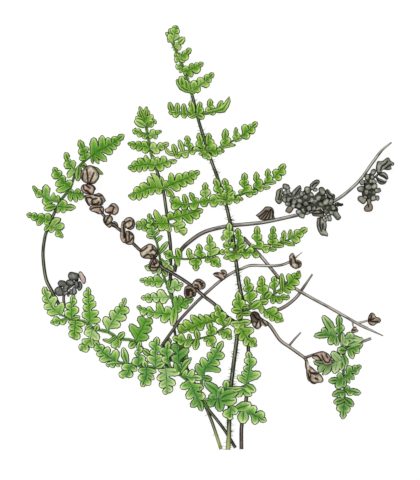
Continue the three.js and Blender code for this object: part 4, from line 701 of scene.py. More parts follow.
# A crumpled dry blade inside its outline, with creases along the lines given. The grid runs
# round the outline, and from the middle of the top over the rim to the middle underneath.
def addCrumple(form, z, height, tone, outline, *creases):
    shape = crumpleShape
    corners = pairsOf(outline)
    loop = [p.to_3d() for p in corners + corners[:1]]
    rim = [p.to_2d() for p in smoothPath(loop, shape["rimStep"])][:-1]
    middle = sum(rim, Vector((0, 0))) / len(rim)
    lines = [[p.to_3d() for p in pairsOf(crease)] for crease in creases]
    folds = [p.to_2d() for line in lines for p in smoothPath(line, shape["creaseStep"])]
    radius = max((p - middle).length for p in rim)
    above, under = max(4, round(radius / shape["cell"])), shape["under"]
    clear = max(shape["clear"][0], min(shape["clear"][1], 1.7 / radius))
    depth, half = shape["crease"]
    swell, lumps = shape["lump"]
    rough, wrinkles = shape["wrinkle"]
    grid = bmesh.ops.create_grid(form, x_segments=len(rim), y_segments=above + under, size=1)["verts"]
    for vert in grid:
        i = round((vert.co.x + 1) / 2 * len(rim)) % len(rim)
        j = round((vert.co.y + 1) / 2 * (above + under))
        share = j / above if j <= above else (above + under - j) / under
        spot = middle.lerp(rim[i], share)
        edge = (1 - share) * (rim[i] - middle).length
        near = min(((spot - p).length for p in folds), default=9)
        dome = math.sqrt(max(0, 1 - share ** shape["steep"]))
        lump = swell * noise.noise(Vector((spot.x * lumps, spot.y * lumps, z)))
        wrinkle = rough * noise.noise(Vector((spot.x * wrinkles, spot.y * wrinkles, z)))
        if j <= above:
            fold = depth * dome * math.exp(-(near / half) ** 2)
            level = z + height / 2 * dome * (1 + lump) + wrinkle * dome - fold
        else:
            level = z - height / 2 * dome
        vert.co = (spot.x, spot.y, max(0.05, level))
        # The crease attribute is the distance to the rim or to the nearest crease on top: painted shade
        # darkens the tissue near them, and far from them it turns pale as a painted highlight.
        paint(form, vert, crease=min(edge * clear, near) if j <= above else 0, tone=tone)
    bmesh.ops.remove_doubles(form, verts=grid, dist=weld)


# A small dry lobe, plump and uneven. It is round, or runs on to x2, y2.
def addBead(form, x, y, radius, tone, x2=None, y2=None):
    shape = beadShape
    start = random.uniform(0, 2 * math.pi)
    stretch = radius * random.uniform(*shape["stretch"])
    way = Vector((math.cos(start), math.sin(start))) * stretch
    ends = [Vector((x, y)) - way, Vector((x, y)) + way]
    if x2 is not None:
        ends = [Vector((x, y)), Vector((x2, y2))]
        start = math.atan2(y2 - y, x2 - x)
    outline = []
    for k in range(shape["corners"]):
        turn = (k + 0.5) * 2 * math.pi / shape["corners"]
        out = Matrix.Rotation(start + turn, 2) @ Vector((radius * random.uniform(*shape["ragged"]), 0))
        outline.extend(ends[1 if math.cos(turn) > 0 else 0] + out)
    tone += random.uniform(*shape["tones"])
    level = max(0.85 * radius, random.uniform(*shape["level"]))
    addCrumple(form, level, shape["height"] * radius, tone, outline)


def buildWithered(frond):
    name, look = frond["name"], frond["look"]
    random.seed(frond["seed"])
    girth = frond.get("girth", 1)
    form = newForm(*stalkLayers)
    for points, first, last in frond["stalks"]:
        if first > stalkShape["main"]:
            addStalk(form, points, first * girth, last * girth, stalkShape["mainSides"],
                     foot=frond.get("foot", (0.8, 20)), taper=frond.get("taper", 0))
        else:
            addStalk(form, points, first * girth, last * girth, stalkShape["sides"], taper=0.3)
    makePiece(form, name + "_stalks", frond["node"], stalkMaterial(name + " dry stalk", look))
    if not ("blades" in frond or "beads" in frond):
        return
    form = newForm("crease", "tone")
    for blade in frond.get("blades", []):
        addCrumple(form, *blade)
    for bead in frond.get("beads", []):
        addBead(form, *bead)
    material = witheredMaterial(name + " dry tissue", look)
    makePiece(form, name + "_curls", frond["node"], material)


# Green fronds. A stalk is its points (x, y, height of the axis, in mm) and its first and last
# radius. A leaf is its rib from root to tip, the tips of its side lobes, and, where they matter,
# the width of its end lobe and how far its tip is lifted.

darkStalk = {"side": "#15180f", "top": "#8e986f", "fresh": "#3f6a22", "foot": "#b9c472", "roughness": 0.38,
             "highlightWidth": 0.42, "line": 0.0}  # the pale streak of painted highlight is this wide in radii, and the line in it is dark by its share
youngGreen = {"paleAndHighlight": "#dff0a0", "blade": "#8ab840", "deep": "#4f8b1c", "rib": "#274f10",
              "margin": "#1f3606"}
freshGreen = {**youngGreen, "paleAndHighlight": "#e9f6be", "blade": "#99c653", "deep": "#58982c"}
midGreen = {**youngGreen, "paleAndHighlight": "#d8ec9e", "blade": "#7cb03c", "deep": "#44841e"}
coolGreen = {"paleAndHighlight": "#e0efb8", "blade": "#7aab4a", "deep": "#43802a", "rib": "#224a16", "margin": "#1a3209"}

tallLeaves = [
    # tip, pinnules low on the topmost stretch
    [[-20.6, 98, -20.2, 102, -17.6, 106.4], [-22.9, 99.8, -23.9, 102.9, -22, 105.2, -20, 106.5, -17.4,
     103.6]], [[-19.2, 95.8, -14.1, 100.7], [-18.4, 98.3, -16.4, 94.2], 3.2],
    [[-16.8, 91, -14, 91.8, -11, 95.3], [-14.8, 93.9, -11.8, 90.3]],
    [[-16.6, 88.6, -18.8, 93], [-19.5, 89.6], 2.4], [[-16.9, 89.4, -16.5, 92.7], [], 1.6],
    [[-16.6, 90, -14.1, 88.3], [], 2.2],
    [[-14.9, 83.2, -11, 84.6, -4.7, 87.9], [-13.3, 86.5, -10.6, 87.8, -8.3, 88.2, -13.7, 81.4, -10.4, 80.8,
     -6.5, 83.4]], [[-14.8, 83.6, -17.2, 87.1], [-18.8, 85.8, -17, 83.2]],
    [[-10.4, 73.4, -14, 74.6, -16.6, 76.6, -18.1, 79.8], [], 2.8], [[-15, 75.6, -16, 81.4], [], 3.4],
    [[-12.9, 74.8, -13.7, 79.5], [], 2.8], [[-11.2, 74.2, -11.7, 78.4], [], 2],
    [[-10.2, 73.6, -7, 76.2, -3.5, 79, 0.4, 82.9], [-9.8, 79.3, -6.7, 80.9, -3.4, 82.3, -6.2, 73.9, -1.8,
     76.6, -0.7, 78.6]], [[-12.4, 74.5, -8.9, 72.7], [], 2],
    # pair near y 62
    [[-7.9, 61.8, -13, 62.2, -18, 63, -22.3, 63.4], [-12, 60.7, -15.1, 60.3, -19.6, 60.8, -14.7, 64.6]],
    [[-20.4, 63, -21.8, 68.4], [], 2.6], [[-17.8, 62.8, -17.8, 68], [], 2.5],
    [[-14.3, 62.4, -14.7, 67.6], [], 2.6], [[-9.9, 62.2, -10.9, 69.1], [-12.6, 64.8], 3],
    [[-8, 62.2, -11.5, 60.6], [], 2.2], [[-7.4, 61.6, -6.6, 68.6], [-4.6, 64.8], 2.8],
    [[-7.8, 61.8, -4.3, 60.4], [], 3],
    [[-4.8, 62.4, 0.5, 63.3, 4.6, 64.6, 7, 67.5, 8.1, 71.1], [0.9, 62], 3.3],
    [[-1.4, 63.2, -1.5, 70.1], [-3.8, 65, 0.9, 65.9], 2.8], [[2.4, 63.8, 4.5, 69.2], [], 2.6],
    # pair near y 43
    [[-3, 44.2, -8, 44.4, -13, 43.2, -18, 41.8, -22, 43, -24.3, 46.4], [-10.6, 42, -14.2, 40.3, -18.8,
     40.1, -9.6, 45.9], 2.4, 0.9], [[-4.8, 44, -7.3, 53], [-8.6, 47.8, -4, 47], 2.8],
    [[-11.4, 43.8, -13.2, 51.6], [-10.1, 47.4, -14.4, 48], 2.8], [[-14.7, 43, -17, 49.5], [], 2.5],
    [[-18.2, 42, -20, 47.4], [], 2.6], [[-6.2, 43.8, -0.6, 40.1], [-7.2, 42, -4.2, 40], 3.4],
    [[-2.6, 42.6, -2.2, 53], [0.5, 49, -3.4, 46], 3],
    [[-2.2, 44, 2, 43.8, 5.8, 43.9], [1.4, 47.5, 3.6, 45.3, 1.7, 41.2, 4, 42.3]],
    [[3, 45.4, 8, 46.9, 11.4, 46.8], [], 2], [[6, 46.4, 6.2, 55.1], [3.8, 48.8, 8.8, 49.9], 3.2],
    [[10.6, 49, 14.8, 50.6], [9.7, 51.4], 2], [[11.5, 49.6, 11.3, 55.9], [13.4, 52.4], 2.1],
    [[14, 51, 18, 54.4, 22.2, 58.4], [15.6, 57.3, 18.4, 57.5, 18.4, 50.9, 21.1, 53.5]],
    # pair near y 19
    [[5, 19, 0, 19.4, -5, 18.8, -10, 17.6, -15, 16.8, -19, 17.8, -21.5, 20.2], [-1, 22, -5.7, 20.9, -17.5,
     21.1, -0.2, 16, -4.8, 16, -10.4, 14.2, -15.4, 14.5, -20, 14.7], 0, 0.6],
    [[-3.8, 19.6, -3.9, 28.3], [-6.2, 23.8, -1.3, 24.1], 2.8],
    [[-8.4, 17.8, -11.8, 23.3], [-7.3, 20.4], 2.6], [[-13, 17, -14.6, 22.4], [], 2.7],
    [[5.8, 19.4, 3.6, 23.4, 1, 30.4], [0.1, 25.4, 4.7, 25.6], 3.2],
    [[6.6, 19.2, 7.2, 23.6, 5.6, 30.3], [9.3, 26.4, 4.8, 26.2], 3], [[6.4, 20.6, 1.1, 22], [5.6, 23.6]],
    [[6.6, 19.6, 10.9, 23.7], [], 3],
    [[6.6, 18.8, 10.6, 19.6, 15.2, 19.9], [9.6, 22, 13.4, 21.6, 12.6, 17.9, 9, 17.4]],
    [[6.8, 18.2, 0.5, 19.2], [3, 17, 6.4, 16.6], 2.6],
    [[13.6, 22, 15.6, 24.6, 15.8, 33.1], [13.5, 24.8, 13.2, 28.8, 17.8, 28.8, 19.2, 26.8], 3],
    [[16, 23, 22.5, 23.5], [19, 21, 19.6, 24.8], 2.6], [[22, 25.2, 21.5, 33.6], [20, 27.2, 24.8, 29], 2.8],
    [[21.4, 25.8, 28.8, 25.9], [24.4, 23.8], 2.3], [[27.2, 28.2, 27.4, 35.2], [25.8, 30, 29.7, 31], 2.6],
    [[26.4, 28.2, 31.6, 28.4], [], 2.2],
    [[30.4, 30.4, 33.4, 34, 35.9, 37.6], [30.8, 34.9, 34.4, 30.3, 36.5, 33]],
    # pair near y -4, with the leafy knot on the rachis
    [[8.4, -1.6, 8, 8.4], [5, 3.8, 10.2, 3.6], 3], [[10, 0.6, 3.8, 0.5], [5.6, 2.4, 6.3, -1], 2.4],
    [[10.6, -4, 4.9, -3.2], [6.2, -1.4, 6.4, -4.8, 10.6, -1.4], 2.4],
    [[11.6, -6.6, 3.3, -6.5], [6.2, -5, 6.4, -8.2], 2.6], [[11.4, -7.6, 5, -9.4], [9.4, -11.3], 2.6],
    [[11.2, -7.4, 14.8, -8.2], [12.4, -10.4], 2.8],
    [[11.4, -6, 12.8, -1.6, 12.3, 5.5], [15.5, 0.8, 10.8, 2], 3], [[11.6, -6, 16.6, -2.4], [], 3],
    [[11.8, -6.8, 17, -6.8, 22.8, -7], [19.6, -4.2, 22.4, -9.4, 17.4, -9.6, 14.6, -4.8]],
    [[-1.4, -8.6, -1.4, -4, -1.9, 2.3], [-4.2, -4, -3, -7, 1.3, -2.2, 3.2, -4.8], 2.8],
    [[-5.6, -9.2, -7.3, -2.3], [-9.3, -6.4, -3.8, -7.3], 2.8],
    [[-11.2, -9.8, -12.4, -4.6], [-9.2, -8.2], 2.8], [[-16.2, -9.8, -18.1, -4.5], [], 3],
    [[-16, -10, -20, -9, -24.7, -6.6], [-21.8, -5.3, -16.6, -13.8, -23.6, -9.6]],
    [[-8.4, -9.8, -8.5, -16.1], [-11.9, -12, -5.8, -12.3], 3],
    [[-3.4, -9.2, 0, -11, 3.9, -13.7], [-3, -12, 0.2, -13.9, 3.4, -9.8]],
    [[18.5, -4.8, 22, -3, 22, 6.5], [19.4, 1.8, 24.4, 1.8, 19.7, -2.3, 25.4, -0.9], 2.9],
    [[22, -4.4, 28.9, -3.5], [], 2.4], [[22.4, -4.4, 31.9, -5.3], [27, -7, 27.6, -4], 2.2],
    [[29.6, -2.8, 30.1, 6.5], [27.6, 2, 31.8, 2.1, 27.3, -0.8, 32.5, -0.5], 2.6],
    [[29.4, -2.8, 35.5, -3.4], [], 2.4], [[35, -1.2, 35.6, 4.4], [33.2, -0.6], 2.4],
    [[34.6, -1.4, 41, -3.1], [], 2], [[38.2, -0.2, 38.7, 4.9], [], 2.1],
    [[38.6, 0, 42.5, 2.5, 47, 5.4], [41.9, 4.9, 45, 1.4, 43.4, -1.3]],
    # lowest pair and the leaf under the node
    [[14.5, -38, 13.3, -33, 12.4, -26.1], [9.6, -31.2, 15.9, -30.9], 3.2],
    [[14.2, -35.6, 9.1, -35.5], [], 3.2], [[14.2, -34, 17.9, -33.3], [], 2.3],
    [[14.6, -37.2, 19.1, -36.9], [], 2.5], [[14.4, -37.4, 11.9, -39.8], [], 3],
    [[14, -42, 8.5, -42], [11, -44.6], 3], [[13, -42, 19, -41.2], [14.2, -45], 3.2],
    [[18.8, -34.8, 18, -27, 16.6, -18.6], [15.2, -24.2, 15.4, -28.4, 20, -22.8, 21.9, -26.4], 3],
    [[19, -34.6, 24, -30.9], [], 3.6],
    [[25, -30.4, 24.3, -18.3], [22, -21.4, 21.4, -24.5, 27.7, -23.8, 23.6, -28.6], 3],
    [[22, -32.2, 27.7, -30.8], [24.3, -37.4]], [[26, -29.8, 29.2, -26.6], [], 3],
    [[30.8, -27.6, 30.4, -18.5], [28.2, -22.3, 32.6, -21.4], 2.8], [[34.6, -25.4, 34.2, -17.1], [], 2.5],
    [[32, -26.4, 38.4, -22, 43.3, -15.8], [37.4, -17.3, 39.8, -17, 44, -18.6, 43.2, -22.2, 41, -25, 38.6,
     -27, 34.8, -27]], [[28.6, -28.8, 38.4, -29.2], [30, -32.4, 33.6, -32.2, 36, -27.7], 2.6],
    [[25, -35, 29, -37.8, 35.2, -41], [31.9, -34.4, 34.2, -37.4, 26.9, -39.5, 29.4, -41.2, 32, -41.9]],
    [[13.2, -43.4, 16, -48, 18.4, -51, 21.9, -53.5], [20.4, -45.1, 21.6, -50, 10.6, -47, 13.4, -50.8, 15.7,
     -53.1, 18.9, -54.1]], [[5.6, -43.6, 4, -39.4, 1.7, -32.5], [0.5, -37, 1.3, -40.3, 6.4, -36.7], 3, 0.5],
    [[6.6, -43.2, 8.9, -38.7], [3.1, -43.6], 2.6],
    [[3.4, -45.4, 6, -46.8, 9.4, -48.9], [9, -45.4, 3, -48, 5.2, -49.9, 8, -50.3]],
    [[-1, -48, -1, -45, -2.3, -41.1], [-3.5, -46.4, 1.8, -44.3], 3.2],
    [[-3.6, -48.8, -1.6, -50.4, 0.6, -53.8], [1.8, -50.2, -3, -53.3, -4.8, -50.8]],
    [[-7.4, -50, -8.4, -45.2], [], 2.8], [[-8, -49.6, -8.9, -55.3], [], 3.2],
    [[-11.4, -50.6, -12.1, -47.2], [], 2],
    [[-10, -50.4, -15, -50.9, -20.2, -49], [-16, -46.9, -17.4, -52.6, -13.6, -54.2], 0, 0.2],
    [[4.2, -41.6, 0.4, -40.5, -5, -42, -9.6, -44, -14.4, -45.8, -17.6, -46.6], [-1.5, -36.8, -4.5, -37.8,
     -7.4, -37.4, -11.3, -38, -15, -40.6, -17.2, -42.6, -6.4, -45.8, -10.4, -47], 0, -0.3],
    [[-20, 97.4, -19.4, 101, -18.2, 105], [-22.4, 102.4, -21.2, 105, -16.8, 101.4, -16.6, 104], 3],
]
tallFrond = {
    "name": "tall_frond",
    "nodes": ("tall_frond_stipe", "tall_frond_blade"),
    "slots": ("dark_stipe", "green_blade"),
    "seed": 11,
    "look": {**darkStalk, **youngGreen, "highlightWidth": 0.45},
    "wing": (5, 1.0),
    "girth": 1.2,
    "hairs": 340,
    "foot": (0.9, 18),
    "stipe": [
        [7.5, -105, 2.7], [7.9, -98.8, 3.3], [8.1, -90.5, 1.7], [8.6, -79, 1.5], [9.3, -70.5, 1.6],
        [10.8, -58.5, 1.9], [12, -49.2, 2.3],
    ],
    "stalks": [
        [[[12.2, -47.2, 2.4], [12.8, -43, 3], [14, -38.5, 3], [14.6, -31, 3], [13, -22, 2.9], [11.6, -12,
         2.8], [10.2, -1, 2.8], [8.6, 8, 2.8], [6.6, 16.5, 2.8], [2.6, 29.5, 2.7], [-1, 39.5, 2.6], [-4.7,
         51, 2.5], [-7.6, 60.5, 2.4], [-10.2, 71, 2.2], [-13, 80, 2], [-16.4, 89.5, 1.6], [-19.4, 96, 1.3],
         [-20.5, 100, 1]], 0.98, 0.6],
        [[[14, -36.5, 3], [19.2, -34.4, 3], [24, -31, 3], [28.4, -28.8, 3], [33, -26, 3]], 0.5, 0.35],
        [[[12.8, -42, 3], [9.5, -41.9, 3], [6.4, -43.2, 3], [3.4, -45.6, 3], [-1, -48, 3], [-8, -50, 3.1],
         [-12, -50.6, 3.1]], 0.5, 0.35],
        [[[11, -6.4, 2.8], [16, -5.6, 2.8], [22, -4, 2.7], [29, -2.8, 2.5], [35, -1.3, 2.2], [39, 0, 2]],
         0.5, 0.33],
        [[[11, -7, 2.8], [3.5, -7.1, 2.8], [-2, -8.9, 2.7], [-8, -9.7, 2.6], [-14, -10, 2.5], [-18, -9.6,
         2.4]], 0.5, 0.35],
        [[[6, 19.2, 2.8], [11, 21.2, 2.7], [16.5, 23, 2.5], [22, 25.6, 2.2], [27.2, 28.5, 1.9], [30.8, 31,
         1.7]], 0.5, 0.33], [[[6, 19, 2.8], [0, 19.3, 2.8], [-5, 18.8, 2.8], [-10, 17.6, 2.7]], 0.5, 0.33],
        [[[-2.4, 43.6, 2.6], [1.5, 44.6, 2.5], [5.8, 46.8, 2.3], [10, 49, 2], [14.4, 51.2, 1.7]], 0.5,
         0.33], [[[-7.8, 61.6, 2.4], [-4, 62.6, 2.3], [0.6, 63.4, 2.1], [4, 64.3, 1.9]], 0.45, 0.33],
    ],
    "leaves": tallLeaves,
}

upperLeftLeaves = [
    [[-33.8, 55.5, -34.2, 60, -34.4, 63.6], [-38, 62.9, -38.7, 61.1, -31.4, 63.6, -29.8, 61.9], 2.4],
    [[-34.2, 60, -36.8, 66.2], [], 2.2], [[-34.2, 60, -33.1, 66.2], [], 2.1],
    [[-33.4, 56.2, -39.2, 59.4], [], 3.6], [[-33, 56, -28.4, 59.4], [-31.2, 59.8, -29.6, 56.5], 2.8],
    [[-32.4, 51.8, -36, 52.8, -40.2, 54.4], [-37.4, 55.2, -35.2, 50.2, -37.6, 51], 3],
    [[-32.2, 51.4, -29, 52.2, -25.5, 54], [-29.9, 54.7, -27.6, 54.4, -30.4, 50.1, -27.8, 49.9]],
    [[-31.4, 45.4, -36, 46.6, -42.7, 47.7], [-34.8, 48.9, -37.6, 49, -40.6, 48.8, -35.2, 43.2, -37.8, 43.9,
     -40.6, 45]], [[-31.4, 45, -27, 45.4, -22, 47.9], [-29.3, 48.3, -26.4, 48.2, -27.4, 42.6, -24.2, 44.8]],
    [[-28.8, 36.6, -33, 37.4, -38, 36.6, -42.6, 35.4], [-31, 40, -34.4, 42, -37.4, 40.3, -40, 38.8, -31.6,
     34, -34.4, 33.8, -37.2, 33.2, -39.8, 33.4]], [[-28.8, 36.6, -30, 41.8], [], 1.9],
    [[-28.8, 36.6, -23, 38.4, -18.4, 39.6], [-27.7, 41, -24.7, 41.6, -24.9, 34.2, -21.4, 36.1, -18.6,
     37.8]],
    [[-25, 25.2, -31, 25.8, -36, 23.8, -42.5, 21.4], [-29.8, 33, -33.4, 31.1, -36.4, 27.6, -39.2, 25.8,
     -26.6, 22.2, -30.8, 21.9, -34, 20.3, -37, 19.2, -39.9, 19.3]], [[-25.2, 26, -26, 31.2], [], 2.4],
    [[-25, 25.4, -18, 28.4, -12.5, 30.6, -6.6, 33.8], [-23.4, 29.4, -21.2, 33.2, -16.6, 33, -13.5, 33.6,
     -10.8, 34.3, -16.4, 24.3, -13.2, 26.4, -9.6, 27.9, -8.2, 30.2]],
    [[-24.9, 25, -22, 24.2, -19.2, 20.2], [-22.8, 21.4]],
    [[-22.4, 7.6, -30, 7.6, -38.3, 6.6], [-25.3, 12, -28.8, 14.8, -32.6, 10.6, -35.7, 10, -38, 8.8, -26.6,
     4.1, -30.4, 4.6, -34.8, 3.9, -37.6, 4.6]],
    [[-22.8, 9.8, -17, 11, -10, 13.4, -4.9, 14.7], [-21.4, 13.7, -17.6, 14.8, -13.6, 15.4, -15.4, 8.6,
     -10.2, 7.8, -7.2, 10.2]], [[-22.3, 7.2, -18.5, 6.4, -14.2, 1.7], [-12.9, 4.8, -13.6, 7.4, -18.6, 3.4]],
    [[-22.2, 6.8, -21.3, 3.4], [-24.1, 4.5], 2.6],
]
upperLeftFrond = {
    "name": "upper_left_frond",
    "nodes": ("upper_left_frond_stipe", "upper_left_frond_blade"),
    "slots": ("dark_stipe", "green_blade"),
    "seed": 12,
    "look": {**darkStalk, **youngGreen},
    "wing": (4, 0.95),
    "girth": 1.15,
    "stipe": [
        [-20.4, -30, 0.62], [-21.2, -24, 0.62], [-21.3, -18, 0.62], [-21.2, -5, 0.7], [-21.8, 1.8, 1],
    ],
    "stalks": [
        [[[-22, 2.9, 1], [-22.4, 7, 1.2], [-23.4, 15, 1.5], [-25.2, 26, 1.7], [-28.2, 34.5, 1.8], [-30.7,
         42, 1.9], [-32.2, 50, 1.8], [-33.5, 57, 1.6]], 0.85, 0.6],
    ],
    "leaves": upperLeftLeaves,
}

middleLeaves = [
    [[-29.9, 2.6, -31, 7, -31.9, 12.8], [-33.2, 9.8, -30, 9.4, -33.4, 7, -29.2, 6.2, -33.1, 4.4]],
    [[-29.3, 1, -33.3, 1.6], [], 2.2], [[-29.6, 1.6, -26.7, 4.3], [], 2],
    [[-28.4, -1.2, -25.3, 1.7], [], 1.9], [[-26.8, -7, -22.4, -1.3], [], 2.4],
    [[-26, -10.2, -23, -12.6, -19.8, -15.9], [-21.4, -11.8, -24.4, -14.6]],
    [[-25.6, -13.8, -34.3, -13.6], [-32.8, -15.9, -30, -17.4, -27.4, -17.9], 2.4],
    [[-25, -15.8, -22.8, -18.6], [], 2.4],
    [[-23.8, -20.8, -30, -21.4, -36.7, -20.5], [-29.3, -18, -31.8, -18.7, -34, -19.1, -28, -24.1, -31,
     -23.6, -33.6, -23.3]],
    [[-22.4, -25.2, -17.6, -23.5, -14.8, -22.2], [-19, -19.7, -16.2, -25.4, -19.6, -26.6]],
    [[-22.6, -24.8, -22, -20.1], [], 1.8],
    [[-21.4, -29, -27, -29, -36, -29.4], [-27, -25.2, -30.6, -26.9, -33.2, -27.3, -25.8, -32.1, -29, -31.6,
     -32.6, -31.7]],
    [[-18.8, -37.8, -25, -37.2, -30, -36.6, -38.2, -33.8], [-23.4, -33.7, -27.6, -30.8, -32, -33.7, -34.8,
     -34, -25.4, -41.8, -29.4, -39.4, -32.8, -39.1, -36, -37.8]],
    [[-19, -33.2, -19.4, -37, -20.2, -43.4], [], 3.8, -0.5],
    [[-19, -35.4, -15, -31.6, -9.7, -29.7], [-19, -28.7, -16.3, -27.6, -12.9, -34.6, -15.8, -36], 0, -0.4],
]
middleFrond = {
    "name": "middle_frond",
    "nodes": ("middle_frond_stipe", "middle_frond_blade"),
    "slots": ("dark_stipe", "fresh_blade"),
    "seed": 13,
    "look": {**darkStalk, **freshGreen},
    "wing": (8, 0.8),
    "hairs": 30,
    "foot": (0.9, 18),
    "stipe": [
        [4, -105, 0.8], [-0.3, -92, 0.75], [-3.3, -84.6, 0.7], [-8, -74.5, 0.7], [-13.5, -63.5, 0.7],
        [-16.7, -56.3, 0.75],
    ],
    "stalks": [
        [[[-16.9, -55.6, 0.85], [-18.8, -48, 0.8], [-19.4, -43, 0.84], [-19.1, -37, 1.75], [-20.3, -30.3,
         2.4], [-22.9, -23, 2.5], [-25, -17, 2.5], [-26.2, -10.8, 2.4], [-27.8, -2.5, 2.5], [-29.9, 3,
         2.8]], 0.85, 0.55],
    ],
    "leaves": middleLeaves,
}

archingLeaves = [
    [[-62, 40.6, -56, 44.6, -50, 47.8, -44.4, 52.2], [-59.5, 51, -55.2, 52, -52.3, 51, -49.6, 51.4, -60.2,
     37.3, -57, 37.4, -52.8, 39, -50.2, 42.6, -48.2, 45, -46.4, 47.2]],
    [[-63.4, 39.4, -64.6, 44, -66.9, 49.6], [-67.4, 43.8, -66.9, 40, -62.2, 45.8, -61.6, 43]],
    [[-68.2, 33.6, -71.4, 37, -73.9, 43.4], [-74.7, 37.4, -72.4, 30.4, -71.2, 39.9, -69, 38.9]],
    [[-66.8, 36.4, -67.6, 28.9], [], 3.2], [[-65.6, 37, -60, 34.8, -54.8, 32.3], [-63.4, 37.6]],
    [[-71, 25.8, -75.6, 29.6, -79.7, 35.8], [-78.2, 23.8, -79.2, 27.2, -80.7, 31.8, -70.8, 29.4, -74.2,
     31.6, -76, 34.2]],
    [[-72, 23.6, -68.5, 22.8, -64.5, 22.4], [-71, 18.7, -68, 18.2, -65.8, 19.4, -70, 24.6, -66.8, 25.1]],
    [[-76.4, 18.8, -82, 19.4, -86, 22.4, -89.2, 23.6], [-77.6, 22, -80.2, 23.4, -82.7, 26.8, -87, 24.8,
     -85.2, 17.8, -88.2, 21]], [[-78.4, 16.4, -84.5, 15], [], 3.4],
    [[-77.8, 16.4, -73, 15.8, -68.5, 15.8], [-73.4, 19.4, -77.9, 12.8, -74.6, 12.9]],
    [[-81, 9.2, -86, 10.6, -93.2, 12.3], [-83, 12.9, -86.2, 12.9, -89.6, 13.2, -84.2, 7.4, -87.6, 6.6,
     -90.4, 9.4]], [[-81.6, 6.2, -78, 5, -74.9, 0.5], [-77, 10.8, -73.7, 6.7, -80.3, 3, -78.2, 1.2]],
    [[-81.4, 7, -84.1, 4], [], 2.4], [[-87.4, 22.8, -90, 26.6], [], 2],
]
archingFrond = {
    "name": "arching_frond",
    "nodes": ("arching_frond_stipe", "arching_frond_blade"),
    "slots": ("dark_stipe", "deep_blade"),
    "seed": 14,
    "look": {**darkStalk, **midGreen},
    "wing": (6, 0.7),
    "girth": 1.2,
    "stipe": [
        [-75, -36.6, 0.65], [-77.4, -32, 0.65], [-80.4, -26.2, 0.65], [-83.4, -20, 0.65],
        [-84.8, -10.5, 0.65], [-84.8, -4.5, 0.7], [-83.8, 1.8, 0.9],
    ],
    "stalks": [
        [[[-83.6, 2.4, 1], [-80.6, 10, 1.4], [-76, 19.2, 1.7], [-71.5, 25, 1.5], [-69.2, 31.5, 1.1],
         [-66.6, 36.6, 1], [-61.6, 41, 1], [-57, 44.2, 1]], 0.8, 0.55],
    ],
    "leaves": archingLeaves,
}

lowerLeftLeaves = [
    [[-75.6, -38, -80, -34.4, -83, -29, -84.6, -23.8], [-82.4, -37.4, -84.6, -34, -85.3, -30, -75.2, -31.1,
     -78.2, -28.4, -81, -26.3]],
    [[-71.6, -39.6, -76, -40.7, -81.2, -41.8], [-79.4, -39, -75.4, -42.9, -78.4, -43.4]],
    [[-70.4, -40, -70.6, -34, -69.8, -27.6], [-73.5, -32.4, -74, -36.2, -67, -34.3, -68, -30.6]],
    [[-70, -39.6, -66.2, -38.9], [], 2.2],
    [[-68.6, -40.6, -69, -45, -69.4, -50.2], [-72.4, -41.4, -72.2, -44.6, -72, -48.2, -63.8, -42.6, -65.2,
     -46.2, -66.4, -49.4]],
    [[-61.4, -42.6, -61.8, -36, -62.3, -24], [-64.8, -26.8, -65.1, -30, -64.9, -33.4, -65.4, -37, -59.4,
     -28.8, -58.5, -31.4, -57, -36.2, -56, -40.2]],
    [[-60.2, -45, -61.4, -50.6, -66.6, -55.8], [-64.4, -47.4, -65.5, -50.6, -67.1, -53.4, -56.8, -50.2,
     -60.2, -54.6, -63, -56.6], 0, -0.7], [[-60.4, -43, -64, -45], [], 2.2],
    [[-58.6, -46, -57.5, -42.6], [], 2.8],
    [[-53, -46.4, -50, -41, -46.4, -35.6, -43.6, -29.4], [-54.5, -39, -50.9, -35.6, -48.6, -34.1, -46.4,
     -31.8, -46, -43, -43.1, -39.6, -41.6, -35.5]], [[-48.6, -48.6, -51.6, -51.2, -55.2, -50.2], [], 2],
    [[-47.6, -49.4, -47, -54.4], [-50.8, -53.8], 3], [[-47.4, -49.6, -44.2, -46.6], [], 2.8],
    [[-38.8, -51.2, -37, -47.6, -34.6, -43, -33.4, -39.6], [-41.6, -42.4, -37.4, -38.9, -31.9, -49.1,
     -30.5, -45.1, -29.8, -40.4]], [[-39, -51.6, -41.9, -54.4], [], 3.2],
    [[-31.4, -58, -35.2, -55], [], 2.8],
    # half hidden behind the others
    [[-21.5, -61.5, -22.5, -55.5, -23.5, -49.5], [-26, -56.5, -25.5, -52, -20, -54, -21, -50], 3, -1.5],
    [[-17.5, -63.5, -15.5, -58.5, -12.5, -54], [-19, -56.5, -16.5, -52.5, -12.5, -59.5], 3, -1.5],
]
lowerLeftFrond = {
    "name": "lower_left_frond",
    "nodes": ("lower_left_frond_blade", "lower_left_frond_blade"),
    "slots": ("dark_stipe", "green_blade"),
    "seed": 15,
    "look": {**darkStalk, **freshGreen},
    "wing": (10, 1.0),
    "stalks": [
        [[[-18.5, -66.5, 0.75], [-25.5, -61.5, 0.75], [-33, -56.6, 0.8], [-40, -51, 0.9], [-47.8, -49.4,
         1.1], [-52, -46.6, 1.3], [-59.5, -44.6, 1.5], [-64, -41.4, 1.8], [-70, -40, 2.1], [-75.6, -38,
         2.3]], 0.8, 0.55],
    ],
    "leaves": lowerLeftLeaves,
}

